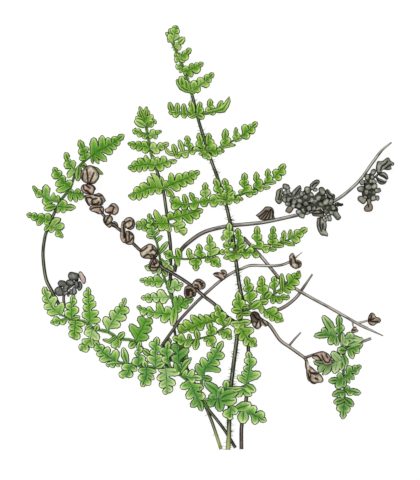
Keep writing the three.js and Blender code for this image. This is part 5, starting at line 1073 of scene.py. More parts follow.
frontLeaves = [
    [[-48, -61.4, -54, -57.4, -59.1, -50.8], [-48.2, -54.9, -51.9, -54, -55, -52.6, -59.5, -54.8, -58.4,
     -57.5, -57, -60.4], 0, 0.3], [[-46.4, -62, -53.6, -62.5], [-47.6, -63.9, -50.6, -64.3], 2.8],
    [[-42.8, -62, -44, -58, -44.9, -54.2], [], 3.3],
    [[-37.2, -63.2, -37.2, -57, -36.6, -50.6], [-38.9, -56, -40.4, -60.2, -35, -54.6, -33.7, -58.8], 2.4],
    [[-40.2, -62.6, -42, -65.8, -43.4, -69.2], [-46, -64.2, -47.2, -67.8, -38, -65.8, -40.4, -68.8]],
    [[-28.6, -64, -28.8, -57, -27.8, -48.7], [-31.9, -51.8, -31.3, -55.4, -33, -58.8, -25.6, -54, -24.8,
     -58.3], 0, 0.4], [[-33.6, -63.8, -34.4, -60.6], [], 3.2],
    [[-33, -64, -33.4, -69, -35.6, -73.8], [-37.4, -65.6, -37.4, -69, -28.2, -66.4, -29.2, -69.6, -31.2,
     -72.8]], [[-28.6, -64, -24, -61.6], [], 3.2],
    [[-23.6, -64.4, -23.2, -69, -22.8, -77.4], [-27.3, -65, -28, -70, -26.8, -73.6, -25, -76.8, -16.2,
     -66.8, -18.7, -72.6, -20, -75.6]],
    [[-15.6, -68.4, -10, -69, -5.3, -69.3], [-13, -65, -9.8, -64.9, -9.6, -71.7]],
    [[-12, -70.2, -9.4, -76, -6.8, -81, -5.4, -85.9], [-16.5, -74.2, -13, -79.8, -11.2, -83.6, -4.6, -73.8,
     -3.8, -78.2]],
    [[-16.6, -67.4, -17, -60, -17.8, -51.8], [-21.2, -53.2, -20.9, -58.8, -12, -54.8], 0, -0.4],
    [[-17.6, -67.6, -14, -62.4, -10.6, -59.2], [-19, -61.2], 3.2],
    [[-21, -65.8, -23.2, -57, -22.2, -50.6], [-26.6, -54.6, -25.6, -59.6, -19.8, -56], 0, 0.5],
    [[-19.6, -67, -18, -64], [], 3.6],
    [[-6.6, -78.2, -5.4, -69, -4, -64.6, 0, -60, 2.6, -55, 5, -50.9], [-8.7, -62.6, -5.7, -59, -2.5, -56.5,
     -0.8, -54.4, 3.9, -65.8, 3.2, -62.8, 5.9, -58.2], 0, -0.6], [[-5.4, -69, -0.4, -70], [], 2.8],
    [[2.6, -79.4, 1.4, -75.4, -4.4, -71.2], [], 4.3], [[2, -79.8, -4.2, -80.6], [-1.4, -77, -1.8, -83.8]],
    [[2.8, -79.6, 4.6, -73.6], [], 4], [[3, -79.6, 6, -78, 12.6, -75.8], [], 5],
    [[2.8, -80, 3.8, -86], [], 4.5], [[4.2, -80.8, 11.9, -80.2], [], 5],
    [[9, -82.8, 8.2, -90.2], [12.4, -86.8, 4.8, -87.8], 4.6], [[11, -84.8, 19.2, -82.2], [], 4.6],
    [[15.2, -85.6, 14.8, -92.1], [], 5.2],
    [[14.8, -86.2, 20, -87.4, 26.6, -91], [22, -83.4, 25.6, -86.4, 20.8, -92.5]],
    [[6.6, -74.2, 6.6, -70.3], [], 3.4],
    [[16.6, -72.4, 18, -66, 18.4, -61, 17.5, -55.8], [12, -68, 14.2, -66, 15.2, -63.8, 15.6, -60.2, 24,
     -67.2, 21.5, -59.6]], [[16.4, -72.6, 21.2, -76.2], [], 3.6],
    [[13.4, -74.2, 19.4, -78], [12, -78.8], 4], [[7, -74.4, 11, -75, 15, -74.2], [], 2.6],
]
frontFrond = {
    "name": "front_frond",
    "nodes": ("front_frond_stipe", "front_frond_blade"),
    "slots": ("dark_stipe", "green_blade"),
    "seed": 16,
    "look": {**darkStalk, **freshGreen, "deep": "#468a3b"},
    "wing": (9, 1.0),
    "stipe": [
        [11.2, -104.3, 0.8], [6.5, -96.5, 0.85], [2.5, -91, 1.4], [-0.5, -87.2, 2.5], [-2.2, -85, 2.95],
    ],
    "stalks": [
        [[[-2.6, -84.4, 3], [-6.5, -78.5, 3.1], [-10.5, -72.5, 3.1], [-16, -68, 3], [-23.4, -64.8, 2.9],
         [-30, -64.1, 2.8], [-37, -63.2, 2.7], [-45, -62, 2.4], [-50, -60.2, 2.2]], 0.85, 0.55],
        [[[-3, -83.6, 3], [0.5, -80.6, 3.2], [3, -79.4, 3.4], [6.8, -82, 3.5], [11, -84.8, 3.5], [15.5,
         -86.8, 3.3], [19, -87.3, 3.1]], 0.5, 0.35],
        [[[3, -79.4, 3.4], [5, -76, 3.5], [6.6, -74, 3.5], [10, -73.9, 3.4], [13.6, -74, 3.2], [16.6,
         -72.2, 3]], 0.5, 0.35],
        [[[-6.6, -78.2, 3.1], [-5.4, -69.5, 2.9], [-4, -64.8, 2.7], [-1, -61, 2.5]], 0.5, 0.35],
    ],
    "leaves": frontLeaves,
}

rightLeaves = [
    [[61, -48.4, 58.6, -43.6, 54.8, -38.3], [], 3.9],
    [[61.6, -48.6, 56, -47.7, 50.3, -48.7], [54.6, -44, 57.6, -43.8, 57.8, -52.8]],
    [[61.4, -48.6, 61.9, -53.3], [], 3], [[63, -50, 63.2, -43, 62.8, -37.8], [65.6, -43.8, 60.6, -44.4]],
    [[64.8, -53.6, 64.8, -46.6], [], 2.4], [[64, -49.8, 69, -49.4, 74, -50.6], [70, -46.7, 67.4, -53.4]],
    [[66.8, -55.4, 70.6, -54.2, 74.9, -52.3], [73, -57, 70, -60]], [[66.4, -55.8, 62, -55.4], [], 3.8],
    [[64.6, -60.2, 60, -61.6, 55, -62.6, 50.2, -61], [59, -56.3, 60.4, -67.3, 56, -68, 52.4, -66.6]],
    [[65, -58, 66.7, -63.6], [], 3.2], [[64.8, -60, 64.2, -65.6], [], 3],
    [[65.3, -69.4, 69, -66.2, 74.2, -63.3], [68.4, -63, 70.8, -62.8, 72.8, -67, 70.9, -70, 68.4, -72.2]],
    [[65.3, -69.8, 61.6, -70.6, 57.6, -71], [63, -66.7, 62, -75.1]], [[65.2, -69.6, 65.5, -74], [], 2.8],
    [[65.7, -75, 69, -76, 74, -77], [67.2, -73, 69, -78.4]],
    [[65.6, -76.4, 62.6, -76.8, 59.4, -78.2], [64.4, -79.6], 3.2], [[65.6, -80, 60.2, -81.8], [], 3.2],
    [[65.6, -79.6, 70.3, -83.4], [], 3.4], [[65.5, -82, 65.2, -86, 64.8, -90.1], [61.7, -85.2, 68.4, -86]],
    [[67.4, -52.8, 71, -51.2, 75, -49.8], [], 3.2],
]
rightFrond = {
    "name": "right_frond",
    "nodes": ("right_frond_blade", "right_frond_blade"),
    "slots": ("dark_stipe", "deep_blade"),
    "seed": 17,
    "look": {**darkStalk, **coolGreen, "foot": "#a39e92"},
    "foot": (0.9, 14),
    "wing": (6, 0.9),
    "stalks": [
        [[[79, -49.7, 0.7], [74.8, -51.2, 0.7], [70, -52.6, 0.7], [66.6, -54.4, 0.7], [65, -59.6, 0.7],
         [65.3, -69, 0.7], [65.6, -76, 0.7], [65.6, -82, 0.8]], 0.75, 0.55],
        [[[66.6, -54.6, 0.7], [65, -51, 0.8], [61.4, -48.4, 0.9]], 0.5, 0.4],
    ],
    "leaves": rightLeaves,
}

for frond in (tallFrond, upperLeftFrond, middleFrond, archingFrond, lowerLeftFrond, frontFrond, rightFrond):
    if "stipe" in frond:
        (points, first, last), *sideStalks = frond["stalks"]
        frond["stalks"] = [(frond["stipe"] + points, first, last)] + sideStalks
    buildFrond(frond)
print("green fronds built")


# Withered fronds. A dry blade is its height above the floor, its thickness, how rosy it is (below
# zero, how dark), its outline and its creases. A bead is its middle, radius and tone, and a second end where
# it is long.

dryStalk = {"side": "#1f1912", "top": "#b5aa9b", "fresh": "#5c8a34", "foot": "#5e4e43", "roughness": 0.6,
            "highlightWidth": 0.48, "line": 0.2}
greyLook = {**dryStalk, "body": "#5c5e53", "pale": "#adaf9f", "warm": "#927b6c", "dark": "#1f201a"}
brownLook = {**dryStalk, "body": "#7a6955", "pale": "#d6c9b4", "warm": "#b8978a", "dark": "#1f160e"}

witheredBlades = [
    [2.9, 2.6, 0.95, [-67.3, -17.5, -66.7, -16.2, -65.5, -16.3, -64.4, -17.8, -63.4, -19.4, -63.5, -21.8,
     -64.6, -22.5, -65.5, -21.2, -66.6, -19.7], [-66.9, -18, -66.1, -20.2, -65, -22]],
    [1.5, 2.6, 0.3, [-67, -21, -66, -21.2, -65.1, -23, -65.5, -25, -66.8, -26, -67.8, -25, -67.8, -23],
     [-67, -22, -66.8, -24]],
]
witheredBeads = [
    [-70.1, -18.6, 2.1, 0.1, -69.1, -18.8], [-71.8, -21.8, 1.45, -0.2, -70.5, -22.1],
    [-68.3, -21.8, 1.2, -0.6, -67.9, -23.6], [-73.2, -23.8, 1.3, -0.1, -73.7, -23.5],
    [-75.2, -22.4, 1.7, 0.1], [-74.7, -25.8, 1.2, -0.4, -73.7, -25.3], [-76.9, -26, 2, 0.1, -76.7, -26.5],
    [-74.2, -27.2, 1, -0.3, -72.8, -26.8], [-70.8, -25.8, 0.85, 0.3, -70.8, -27],
    [-69.2, -25, 1.15, 0.35, -69.2, -26.7], [-72.2, -27.2, 0.65, -0.2, -72.2, -28.2],
]
witheredPinna = {
    "name": "withered_pinna",
    "node": "withered_pinna",
    "slot": "dry_grey",
    "seed": 21,
    "look": {**greyLook, "body": "#50524a", "pale": "#92948a", "warm": "#d9c6ba"},
    "stalks": [
        [[[-74.2, -34, 0.7], [-74.6, -29, 0.75], [-73, -25.4, 0.8], [-70, -23, 0.9], [-67.2, -20, 1]], 0.8,
         0.5],
    ],
    "blades": witheredBlades,
    "beads": witheredBeads,
}

curledBlades = [
    [4.4, 5.6, 0.35, [-62.2, 27.2, -65, 28.8, -66, 31.5, -65.2, 34.2, -63, 36, -61, 36.8, -59, 35.8, -57.2,
     33.8, -56.5, 31.2, -57.5, 29, -59.2, 27.4], [-64.6, 28.5, -64.9, 30.5, -64.5, 32.8], [-62.1, 27.8,
     -62.2, 30.5, -62.5, 33, -62.8, 34.8], [-61.4, 27.8, -60.3, 30, -59.2, 32.8], [-63.5, 27.5, -60.5,
     27.7]],
    [3.2, 4.2, 0.8, [-65, 27.2, -66, 25.5, -65.5, 23.8, -63.8, 22.5, -62, 22.3, -59.8, 22.2, -58.9, 24,
     -58.3, 25.2, -59.8, 27, -62.5, 27.5], [-64.5, 26.5, -64.2, 24.8, -62.5, 23.3, -61, 22.7], [-63.5,
     27.1, -62.2, 26, -61.2, 25.3], [-63, 24.2, -61.8, 23.4], [-61, 27.2, -59.4, 26, -59, 24]],
    [3, 4.6, 0.3, [-64.2, 22, -62.5, 22.2, -60.5, 22.4, -58.5, 22.5, -57, 23, -55.2, 22.2, -54, 20.5,
     -53.4, 19, -54.5, 18, -55, 17, -58, 16.8, -61, 16.8, -61.8, 16.2, -63.2, 18, -64, 19.8], [-63.2, 21,
     -62.5, 18.5, -61.5, 16.5], [-62.5, 20.6, -60.8, 20.6, -59.8, 19.8, -58, 20.1], [-59, 21.8, -57, 21.4,
     -55, 21.7], [-60.2, 19.2, -60, 17.5, -58, 17.5, -56.8, 18.2], [-55.8, 20.2, -55.2, 18.8, -56, 17.2]],
    [2.8, 4, 0.75, [-61.2, 16.5, -59, 17, -56, 17, -54.5, 15.8, -54.2, 14, -55.2, 12.5, -57, 12.3, -59,
     13.2, -60.8, 13.8, -61.8, 15], [-61, 14.5, -60, 15.3, -58, 15.8, -55.5, 15.7], [-56.2, 14.8, -55.2,
     13.1], [-59.2, 13.5, -57.2, 12.9]],
    [2.6, 3.8, 0.7, [-53.8, 13.2, -54, 14.8, -52.5, 15.8, -51.5, 17, -50.5, 17.8, -48.8, 17.8, -47.2, 16.2,
     -46.9, 14.5, -47.5, 12.8, -49, 11.8, -50.5, 12.2, -52.5, 12.6], [-52, 16.2, -50.5, 16.5, -49.2, 15.8],
     [-49.4, 15.5, -50, 14, -50.2, 12.3], [-53.5, 13, -51.5, 13.3, -50.2, 13.3]],
    [2.6, 3.6, 0.15, [-54.5, 11, -53.5, 11.8, -51.5, 12, -50.2, 11.2, -49.8, 9.5, -50.8, 8, -50.2, 6.8,
     -51.5, 5.5, -53.2, 6.5, -54.5, 8, -55, 9.8], [-53.9, 11.1, -54.1, 9.5, -53.5, 7.5], [-51.8, 11.2,
     -52.9, 9.5, -53.4, 7.8], [-53.2, 7, -51.5, 7.6, -50.3, 8.7]],
    [2.4, 2.6, 0.3, [-50.2, 8.5, -49.2, 9, -47.8, 8.2, -47.1, 6.5, -47.8, 5.5, -49.8, 5.8, -50.8, 6.8],
     [-50, 7.8, -48.8, 7.5, -48, 6.5], [-50.5, 6.7, -49, 6.3]],
    [3.1, 4.2, 0.5, [-45.5, 8.5, -44.5, 9.2, -43.7, 7.5, -43.6, 4.5, -43.8, 1.5, -43.5, -1, -44.2, -2.2,
     -45.5, -1.2, -46.4, 1, -46.1, 4.5, -45.9, 7], [-44.5, 7.5, -44.4, 4, -44.2, 0.5]],
    [3.3, 4.4, 0.4, [-44.2, 9.8, -42.8, 10.8, -40.8, 10.9, -39.2, 9.5, -38.8, 7.5, -39.3, 5.5, -40.8, 4.5,
     -42.5, 4.8, -43.8, 6, -44.4, 7.8], [-44, 7.5, -42.8, 8.5, -41.2, 9.2], [-43.2, 5, -41.5, 5.6, -40.1,
     6.8, -39.8, 8.8]],
    [3.1, 4.2, 0.3, [-43.5, 4, -42, 4.2, -40.2, 3.2, -39.2, 1.5, -39.2, -0.5, -39.8, -2.5, -41.5, -3,
     -43.5, -2.5, -44, -1, -43.8, 1.5], [-43.4, 3.2, -43.5, 1, -43.2, -1], [-41.8, 3.2, -40.5, 2.2, -39.5,
     1.9], [-39.7, 0.8, -41.2, -0.9, -43.2, -2], [-41.7, 2, -41.7, 0]],
    [5.2, 4, 0.3, [-36.5, -6.5, -36, -5, -34.2, -3.5, -31.5, -2.2, -29.2, -3.2, -27.8, -5, -27.2, -7,
     -27.8, -9, -29.8, -9.8, -32, -9.9, -34.5, -9.7, -36, -8.5], [-36, -6.2, -34.5, -5.5, -32.8, -4.2],
     [-34.2, -8.9, -33.2, -8, -31.8, -7.8, -30.8, -8.8], [-31, -6, -30, -5.3, -28.5, -5.9, -28.2, -7.2,
     -29.2, -8.2, -30.5, -7.8], [-30.1, -3.8, -29.9, -4.8], [-29.8, -9, -28.2, -8.8]],
    [5.2, 3.6, 0.45, [-30.8, -10, -29.5, -9.2, -27.8, -9.8, -26.6, -11.5, -26.5, -13.5, -27.8, -15.4,
     -29.8, -16.2, -31.3, -15.5, -32.1, -14, -31.8, -11.8], [-29.6, -10.2, -30.8, -12.5, -31.2, -14.5],
     [-29, -10, -28, -11.8, -29.8, -12.7], [-30.2, -14.2, -28.5, -14.3, -27, -13.8], [-29.5, -11.5, -29.1,
     -13]],
    [2.9, 3.6, 0.35, [-10.8, -22.8, -9.5, -20.8, -7.5, -19.7, -5.5, -20.3, -3.8, -22, -3.8, -24, -5.2,
     -25.2, -7, -25.2, -8.5, -24.4, -10, -24.2], [-8.3, -21, -6.2, -21.2, -6.6, -21.8, -5.1, -22.1, -6.2,
     -22.7, -5, -23.2, -5.7, -23.8], [-9, -22.8, -7.7, -23.2, -7.2, -24.2]],
    [3.6, 3.6, 0.5, [-14.2, -24, -12.5, -23, -10.2, -23.5, -8.5, -25, -8.2, -27, -9, -28.8, -11, -29,
     -12.2, -29.7, -13.8, -29.2, -14.6, -27], [-13.3, -25, -10.8, -24.9, -13.5, -25.6, -10.1, -25.6, -13.5,
     -26.3, -11.8, -26.3, -13.5, -27, -11.8, -27.1, -13.3, -27.7, -11.9, -27.9, -13, -28.4], [-10.5, -26.2,
     -9.4, -26.7, -10.5, -27.3, -9.5, -27.9, -10.2, -28.4]],
]
curledFrond = {
    "name": "dead_frond_curled",
    "node": "dead_frond_curled",
    "slot": "dry_brown",
    "seed": 22,
    "look": {**brownLook, "highlightWidth": 0.42, "top": "#a59b8e"},
    "stalks": [
        [[[14.2, -105, 0.7], [14.2, -95, 0.6], [15, -89.5, 0.6], [16.6, -80, 0.55], [17.5, -62, 0.55],
         [17.6, -51, 0.6], [17, -45.5, 0.7], [12.5, -42.2, 0.9], [7.3, -39, 1.1], [1, -32.8, 1.7], [-4.4,
         -28.6, 2.2], [-9, -24.6, 2.6], [-14.5, -20.6, 3], [-21, -16.6, 3.7], [-24.9, -14.4, 4.3], [-28,
         -11.4, 4.4], [-33, -8, 4.5], [-36.5, -5.4, 4.2], [-41, -1, 3.4], [-46, 4.2, 2.6], [-51, 8, 2.4],
         [-55.5, 13, 2.4], [-60, 19, 2.8], [-62, 26, 3.3], [-61.6, 30.4, 4]], 1, 0.8],
        [[[-52.6, 10.6, 2.5], [-50.8, 13, 2.5], [-49.6, 15.6, 2.5]], 0.55, 0.5],
    ],
    "blades": curledBlades,
}

beadedBlades = [
    [1.6, 2.8, 0, [39.2, 21.5, 39, 23, 40.5, 24.8, 42, 26.2, 43.2, 26.9, 44, 26.2, 44.2, 24.5, 43.5, 23.2,
     42.2, 21.8, 40.8, 20.8], [40.8, 21.8, 42, 23.5, 43.3, 25.3]],
    [1.7, 2.8, 0.1, [48.3, 27.3, 50, 28.9, 51.5, 29.7, 53, 29.5, 53.3, 28.2, 52.3, 26.8, 51.2, 25.8, 50.2,
     24.7, 48.8, 24.3, 48.2, 25.7], [49.5, 26.2, 50.3, 27.3, 52, 28.1]],
    [2, 2.8, 0.62, [56, 24.3, 57, 25, 58.2, 24.2, 59, 22.8, 60.5, 22.5, 61, 21.2, 60.5, 19.8, 59, 19.8,
     57.5, 20.5, 56.5, 22], [57, 23.8, 58, 22.2, 59.3, 21.4], [59.2, 20.2, 60, 21.5]],
    [1.8, 2.6, 0.2, [60.7, 18, 62.3, 18.5, 63.5, 17.9, 64.8, 17.8, 65.1, 17, 64.2, 16.3, 62.7, 16.3, 61.7,
     15.2, 60.8, 16.2], [61.5, 16.8, 62.6, 17.5, 64.2, 17], [62.3, 16.7, 63.5, 16.6]],
    [1.6, 3.1, 0.95, [21.2, 11.8, 23, 13.2, 24.8, 14.8, 26, 16.1, 27.5, 16.3, 29.5, 15.8, 30.5, 14, 30.5,
     11.8, 30.8, 10, 28, 9.6, 25, 9.3, 23.2, 9.8, 22.5, 10.8], [22.8, 10.9, 24.8, 12.5, 26.5, 14.2], [24,
     10, 25.8, 12, 27.2, 14], [25.8, 10, 27.2, 12, 28, 14], [27.8, 10.2, 28.5, 12.2, 28.6, 14.8], [29.7,
     10.5, 29.8, 13, 29.2, 14.8]],
    [2, 3.4, 0.55, [31.2, 21.5, 31.6, 24, 33, 25.1, 34.5, 25.6, 35, 23.5, 34.2, 21.5, 34.7, 19.5, 34.2, 18,
     32.8, 17.3, 31.3, 18.5, 30.9, 20], [33.7, 24.2, 33.2, 22.2, 32.7, 19.8], [34.2, 21.3, 33.7, 19.5]],
    [1.9, 3.2, 0.55, [52, 10.5, 53.8, 11, 55, 10, 56.5, 8.5, 56.8, 6.2, 56.5, 4.5, 57.4, 2.5, 57.2, 1.2,
     55.8, 1.5, 54, 1.8, 52.7, 3.5, 51.9, 5.5, 51.6, 8], [53.4, 10, 53.3, 7, 54, 4], [54.8, 7.5, 54.7, 5],
     [55.8, 4.7, 56.5, 4.3]],
    [2.3, 3.2, 0.62, [49, 13, 50.5, 14, 53, 14.7, 54.8, 14, 55.5, 12.5, 54.8, 10.5, 53.5, 11, 51.5, 11.2,
     49.8, 11.5], [49.8, 12.5, 52, 12.6, 54.2, 12.8], [53, 14.1, 54.8, 12.9]],
    [2.1, 3.3, 0.5, [81.5, 37.5, 82.2, 38.9, 84.5, 39, 86.5, 40.5, 87.8, 40.6, 88.8, 39, 90.4, 38, 90.2,
     36.8, 88.8, 36.2, 89.2, 35, 87.5, 34.3, 85, 34.5, 84, 33.2, 82, 32.8, 81.2, 35], [83.5, 34.3, 84.2,
     36.2, 85.8, 37.3, 87, 38.7], [86, 35.2, 88.8, 37.3]],
    [1.9, 3, 0.15, [82.2, 32.2, 84, 33.3, 85.8, 33.3, 87.2, 31.8, 87.5, 30, 86.5, 29.5, 85, 30.5, 83.5,
     31.2], [83, 32, 85, 31.5, 86.5, 30.3]],
    [1.8, 3, 0.1, [81, 31.2, 82.2, 30.8, 84, 30, 85.8, 29.2, 86.8, 29.2, 86.4, 28, 85.2, 27.2, 83.5, 27.2,
     82, 28.5], [82, 30, 83.5, 28.7, 85.5, 28.3]],
    # These two nearly black sheets lie under the beads as painted shade between them.
    [1.2, 2, -1, [35, 21, 36.5, 24.5, 38.5, 21.5, 40.5, 19.5, 43.5, 21, 45, 24, 47, 25, 48, 23, 50, 21.5,
     52.5, 23.5, 54.5, 24.5, 56.5, 21.5, 58.5, 20, 60.5, 17.5, 62.5, 15, 61.5, 12.5, 58.5, 13, 56, 15,
     52.5, 15.5, 49.5, 13.5, 45.5, 14, 42, 15, 39, 16, 36.5, 18.5], [37, 20, 40.5, 17.5, 44.5, 17, 48.5,
     18, 52.5, 19, 56.5, 18.5, 60, 16]],
    [1.1, 1.9, -1, [76.5, 31, 78.5, 33, 80, 31.5, 81, 28, 81.5, 24.5, 81, 21.5, 79.5, 19, 78, 18, 76.5, 19,
     74.5, 21.5, 74.5, 24.5, 75.5, 27.5], [78, 30.5, 78.5, 26.5, 78, 22.5, 77.5, 19.5]],
    [1.9, 3.2, 1, [76.8, 17.5, 78.2, 18.5, 79.5, 17.2, 79.9, 15.5, 79.2, 14, 77.5, 13.5, 75.8, 13.8, 75.2,
     15.2, 75.8, 16.5], [77.5, 17.8, 77.5, 16]],
]
beadedBeads = [
    [36.5, 26, 1.45, 0], [37.6, 24.2, 0.95, 0.1, 37.8, 23.1], [35.8, 23, 1.1, -0.4],
    [35.8, 21.2, 1.05, -0.35], [35.6, 19.5, 1.05, 0], [37.5, 19.7, 1.05, -0.2], [38.5, 22.1, 0.75, 0.1],
    [37, 17.4, 1.05, 0.2, 37.6, 17.4], [38.2, 14.7, 1.55, 0.95], [40, 16.4, 1.15, 0], [40.5, 18.6, 1.2, 0],
    [39.5, 20.8, 1, -0.35], [44, 22.5, 1.05, 0], [42.5, 21.2, 0.95, -0.35], [43.1, 19.3, 1.2, 0, 43.5, 19],
    [46.1, 20.8, 1.2, 0], [47.1, 24.9, 1.4, 0, 47.1, 23.8], [51, 24.6, 1, 0.1], [49.1, 22.2, 1, 0],
    [49.2, 19.5, 1.25, 0.1], [46.3, 17.6, 1.35, -0.4], [47.9, 15.3, 1.25, 0.2],
    [42.6, 16.4, 1.2, 0.2, 42.9, 16.7], [44.8, 14.8, 0.95, 0, 45.2, 13.6], [42.7, 13.5, 1.2, 0],
    [44.2, 11.8, 1.25, 0.3], [46.9, 12.9, 0.8, 0, 47.5, 13.1], [54.4, 24.2, 1.65, 0.1, 54.6, 23.2],
    [52.6, 20.4, 1.35, 0.1], [51.1, 19, 0.95, -0.2], [56.3, 18.4, 1.5, 0],
    [53.5, 17.4, 1, -0.3, 54.5, 17.2], [52, 16.1, 0.7, 0.3, 54.2, 15.3], [50.4, 15.3, 1, -0.2],
    [50, 17, 0.9, -0.3], [57, 15.6, 0.9, 0.2], [56.5, 13.8, 1.15, -0.6], [59.8, 16, 1.2, 0.2, 60, 15.5],
    [62.2, 11, 1.55, 0.2, 61.3, 12.6], [59.5, 13, 1.3, -0.4], [58.3, 9.7, 1, 0.3, 58, 11.2],
    [56.5, 11.2, 0.95, 0.1], [55.8, 9.2, 1, 0], [58.8, 18.4, 1.3, -0.1], [40.9, 20.6, 0.9, -0.1],
    [52.3, 17.7, 0.9, -0.2], [45.5, 22.7, 0.75, -0.3], [77.1, 31.3, 1.1, 0.2, 76.9, 30.4],
    [79.9, 33.2, 1.25, 0.3, 80, 33.7], [79.4, 30.9, 1, 0], [78.7, 28.9, 0.95, 0.2], [74.3, 28.3, 1.25, 0.2],
    [76.1, 28.5, 0.95, -0.4], [80.3, 28.6, 1.1, 0.1], [73.7, 25, 1.5, 0.1, 74.2, 24.9],
    [77.5, 25.9, 1.45, 0.1], [80.8, 26.4, 1.25, 0.2, 80, 26], [82.2, 24.2, 1.2, 0.2],
    [76.5, 23.3, 1.15, -0.2], [78.4, 23.2, 1.1, -0.6], [74.1, 20, 1.75, 0.62, 74.8, 19.5],
    [75.8, 20.7, 1, 0.1], [80.1, 20.5, 1.5, -0.1], [82, 20.8, 1, 0.4, 82, 20.1],
    [77.8, 19.2, 1.1, -0.4, 77.8, 17.9], [80.2, 23.2, 1.1, -0.5],
]
beadedFrond = {
    "name": "dead_frond_beaded",
    "node": "dead_frond_beaded",
    "slot": "dry_grey",
    "seed": 23,
    "look": {**greyLook, "top": "#c2c1b4", "highlightWidth": 0.62, "line": 0.6, "foot": "#4c3f35"},
    "foot": (1.0, 70),
    "girth": 1.2,
    "taper": 0.5,
    "stalks": [
        [[[-19.4, -16.4, 1], [-18.4, -12.5, 1], [-16, -5.6, 1], [-10, 0, 1], [-4, 3.6, 1], [4, 5.8, 1],
         [10.5, 6.8, 1], [23.5, 8.1, 0.8], [32.5, 9.8, 0.7], [41.5, 11.8, 0.8], [47.5, 13.2, 1], [54, 15.6,
         1.3], [61, 19.2, 1], [66.5, 23, 0.7], [73.5, 29.6, 0.6], [79.3, 37.6, 0.6], [84.5, 44.4, 0.5],
         [89.3, 48.3, 0.45]], 0.92, 0.6],
        [[[54, 15.6, 1.4], [50, 18.6, 1.6], [45, 18.8, 1.6], [40, 20.4, 1.6], [36.6, 20, 1.6], [34, 21.6,
         1.5]], 0.6, 0.5], [[[47.6, 18.8, 1.6], [48.4, 23.6, 1.5], [50.6, 27.6, 1.4]], 0.5, 0.4],
        [[[54, 15.6, 1.4], [56, 20, 1.5], [57.4, 22.6, 1.4]], 0.6, 0.5],
        [[[54, 15.6, 1.4], [55, 12, 1.5], [52.6, 7, 1.5]], 0.6, 0.5],
        [[[55, 15.4, 1.4], [60, 14.6, 1.4], [61.6, 12, 1.3]], 0.6, 0.5],
        [[[75.6, 31.8, 0.7], [77.8, 29.8, 1.2], [78, 22, 1.4], [77.6, 17, 1.3]], 0.7, 0.5],
        [[[76.8, 29.4, 1.2], [81.6, 31.4, 1.5], [83.4, 34.4, 1.7], [84.4, 37, 1.9]], 0.7, 0.5],
        [[[81.2, 31.2, 1.5], [83.4, 29.4, 1.8]], 0.5, 0.5],
    ],
    "blades": beadedBlades,
    "beads": beadedBeads,
}

crossingBlades = [
    [1.7, 3, 0.75, [-0.2, -17.5, 0.8, -16.7, 2.5, -16.4, 4.2, -16.9, 5.8, -18.2, 6, -20, 4.2, -20.9, 2.8,
     -19.8, 1, -18.8], [1.8, -18.8, 3, -19.3, 4.5, -20], [1, -17.3, 2.5, -17.5]],
    [1.8, 2.6, 0.4, [3.5, -15.8, 4.5, -15.2, 6, -15.4, 6.9, -16.5, 6.8, -18.2, 5.7, -17.8, 4.2, -16.8],
     [4.5, -16.7, 5.8, -17.5]],
    [1.9, 3.4, 0.25, [38, -10, 38, -8.5, 39, -7.2, 40, -7, 41, -8.5, 41.4, -10.1, 42.8, -10.5, 44.2, -11.5,
     44.2, -13.5, 43, -14.5, 41.2, -15, 39.2, -14, 38.2, -12.5], [39, -12.8, 38.9, -10.2], [40, -8.5, 40.8,
     -10, 41.2, -11.8], [41.2, -11.5, 42.7, -12.8, 42.9, -14], [42.2, -11.3, 43.3, -12.2]],
]
crossingFrond = {
    "name": "dead_frond_crossing",
    "node": "dead_frond_crossing",
    "slot": "dry_brown",
    "seed": 24,
    "look": {**brownLook, "top": "#cbc4b6", "highlightWidth": 0.62, "line": 0.35, "foot": "#3a3128"},
    "foot": (1.2, 55),
    "stalks": [
        [[[-25.6, -53.4, 1.65], [-24, -51, 1.78], [-19.6, -44.8, 2.95], [-16.7, -40.6, 2.65], [-12, -35.4,
         1.8], [-6, -29.4, 0.75], [4, -20.6, 0.55], [10.3, -16.5, 0.6], [14, -15, 0.8], [19, -13.2, 1.3],
         [28, -13.4, 2], [34, -13, 1.8], [38.4, -11.4, 1.7]], 0.82, 0.68],
        [[[5.4, -19.4, 0.6], [4.6, -18, 1]], 0.5, 0.5],
        [[[40.6, -10, 1.8], [42, -8.6, 1.8], [44.6, -6.5, 1.7]], 0.5, 0.3],
    ],
    "blades": crossingBlades,
}

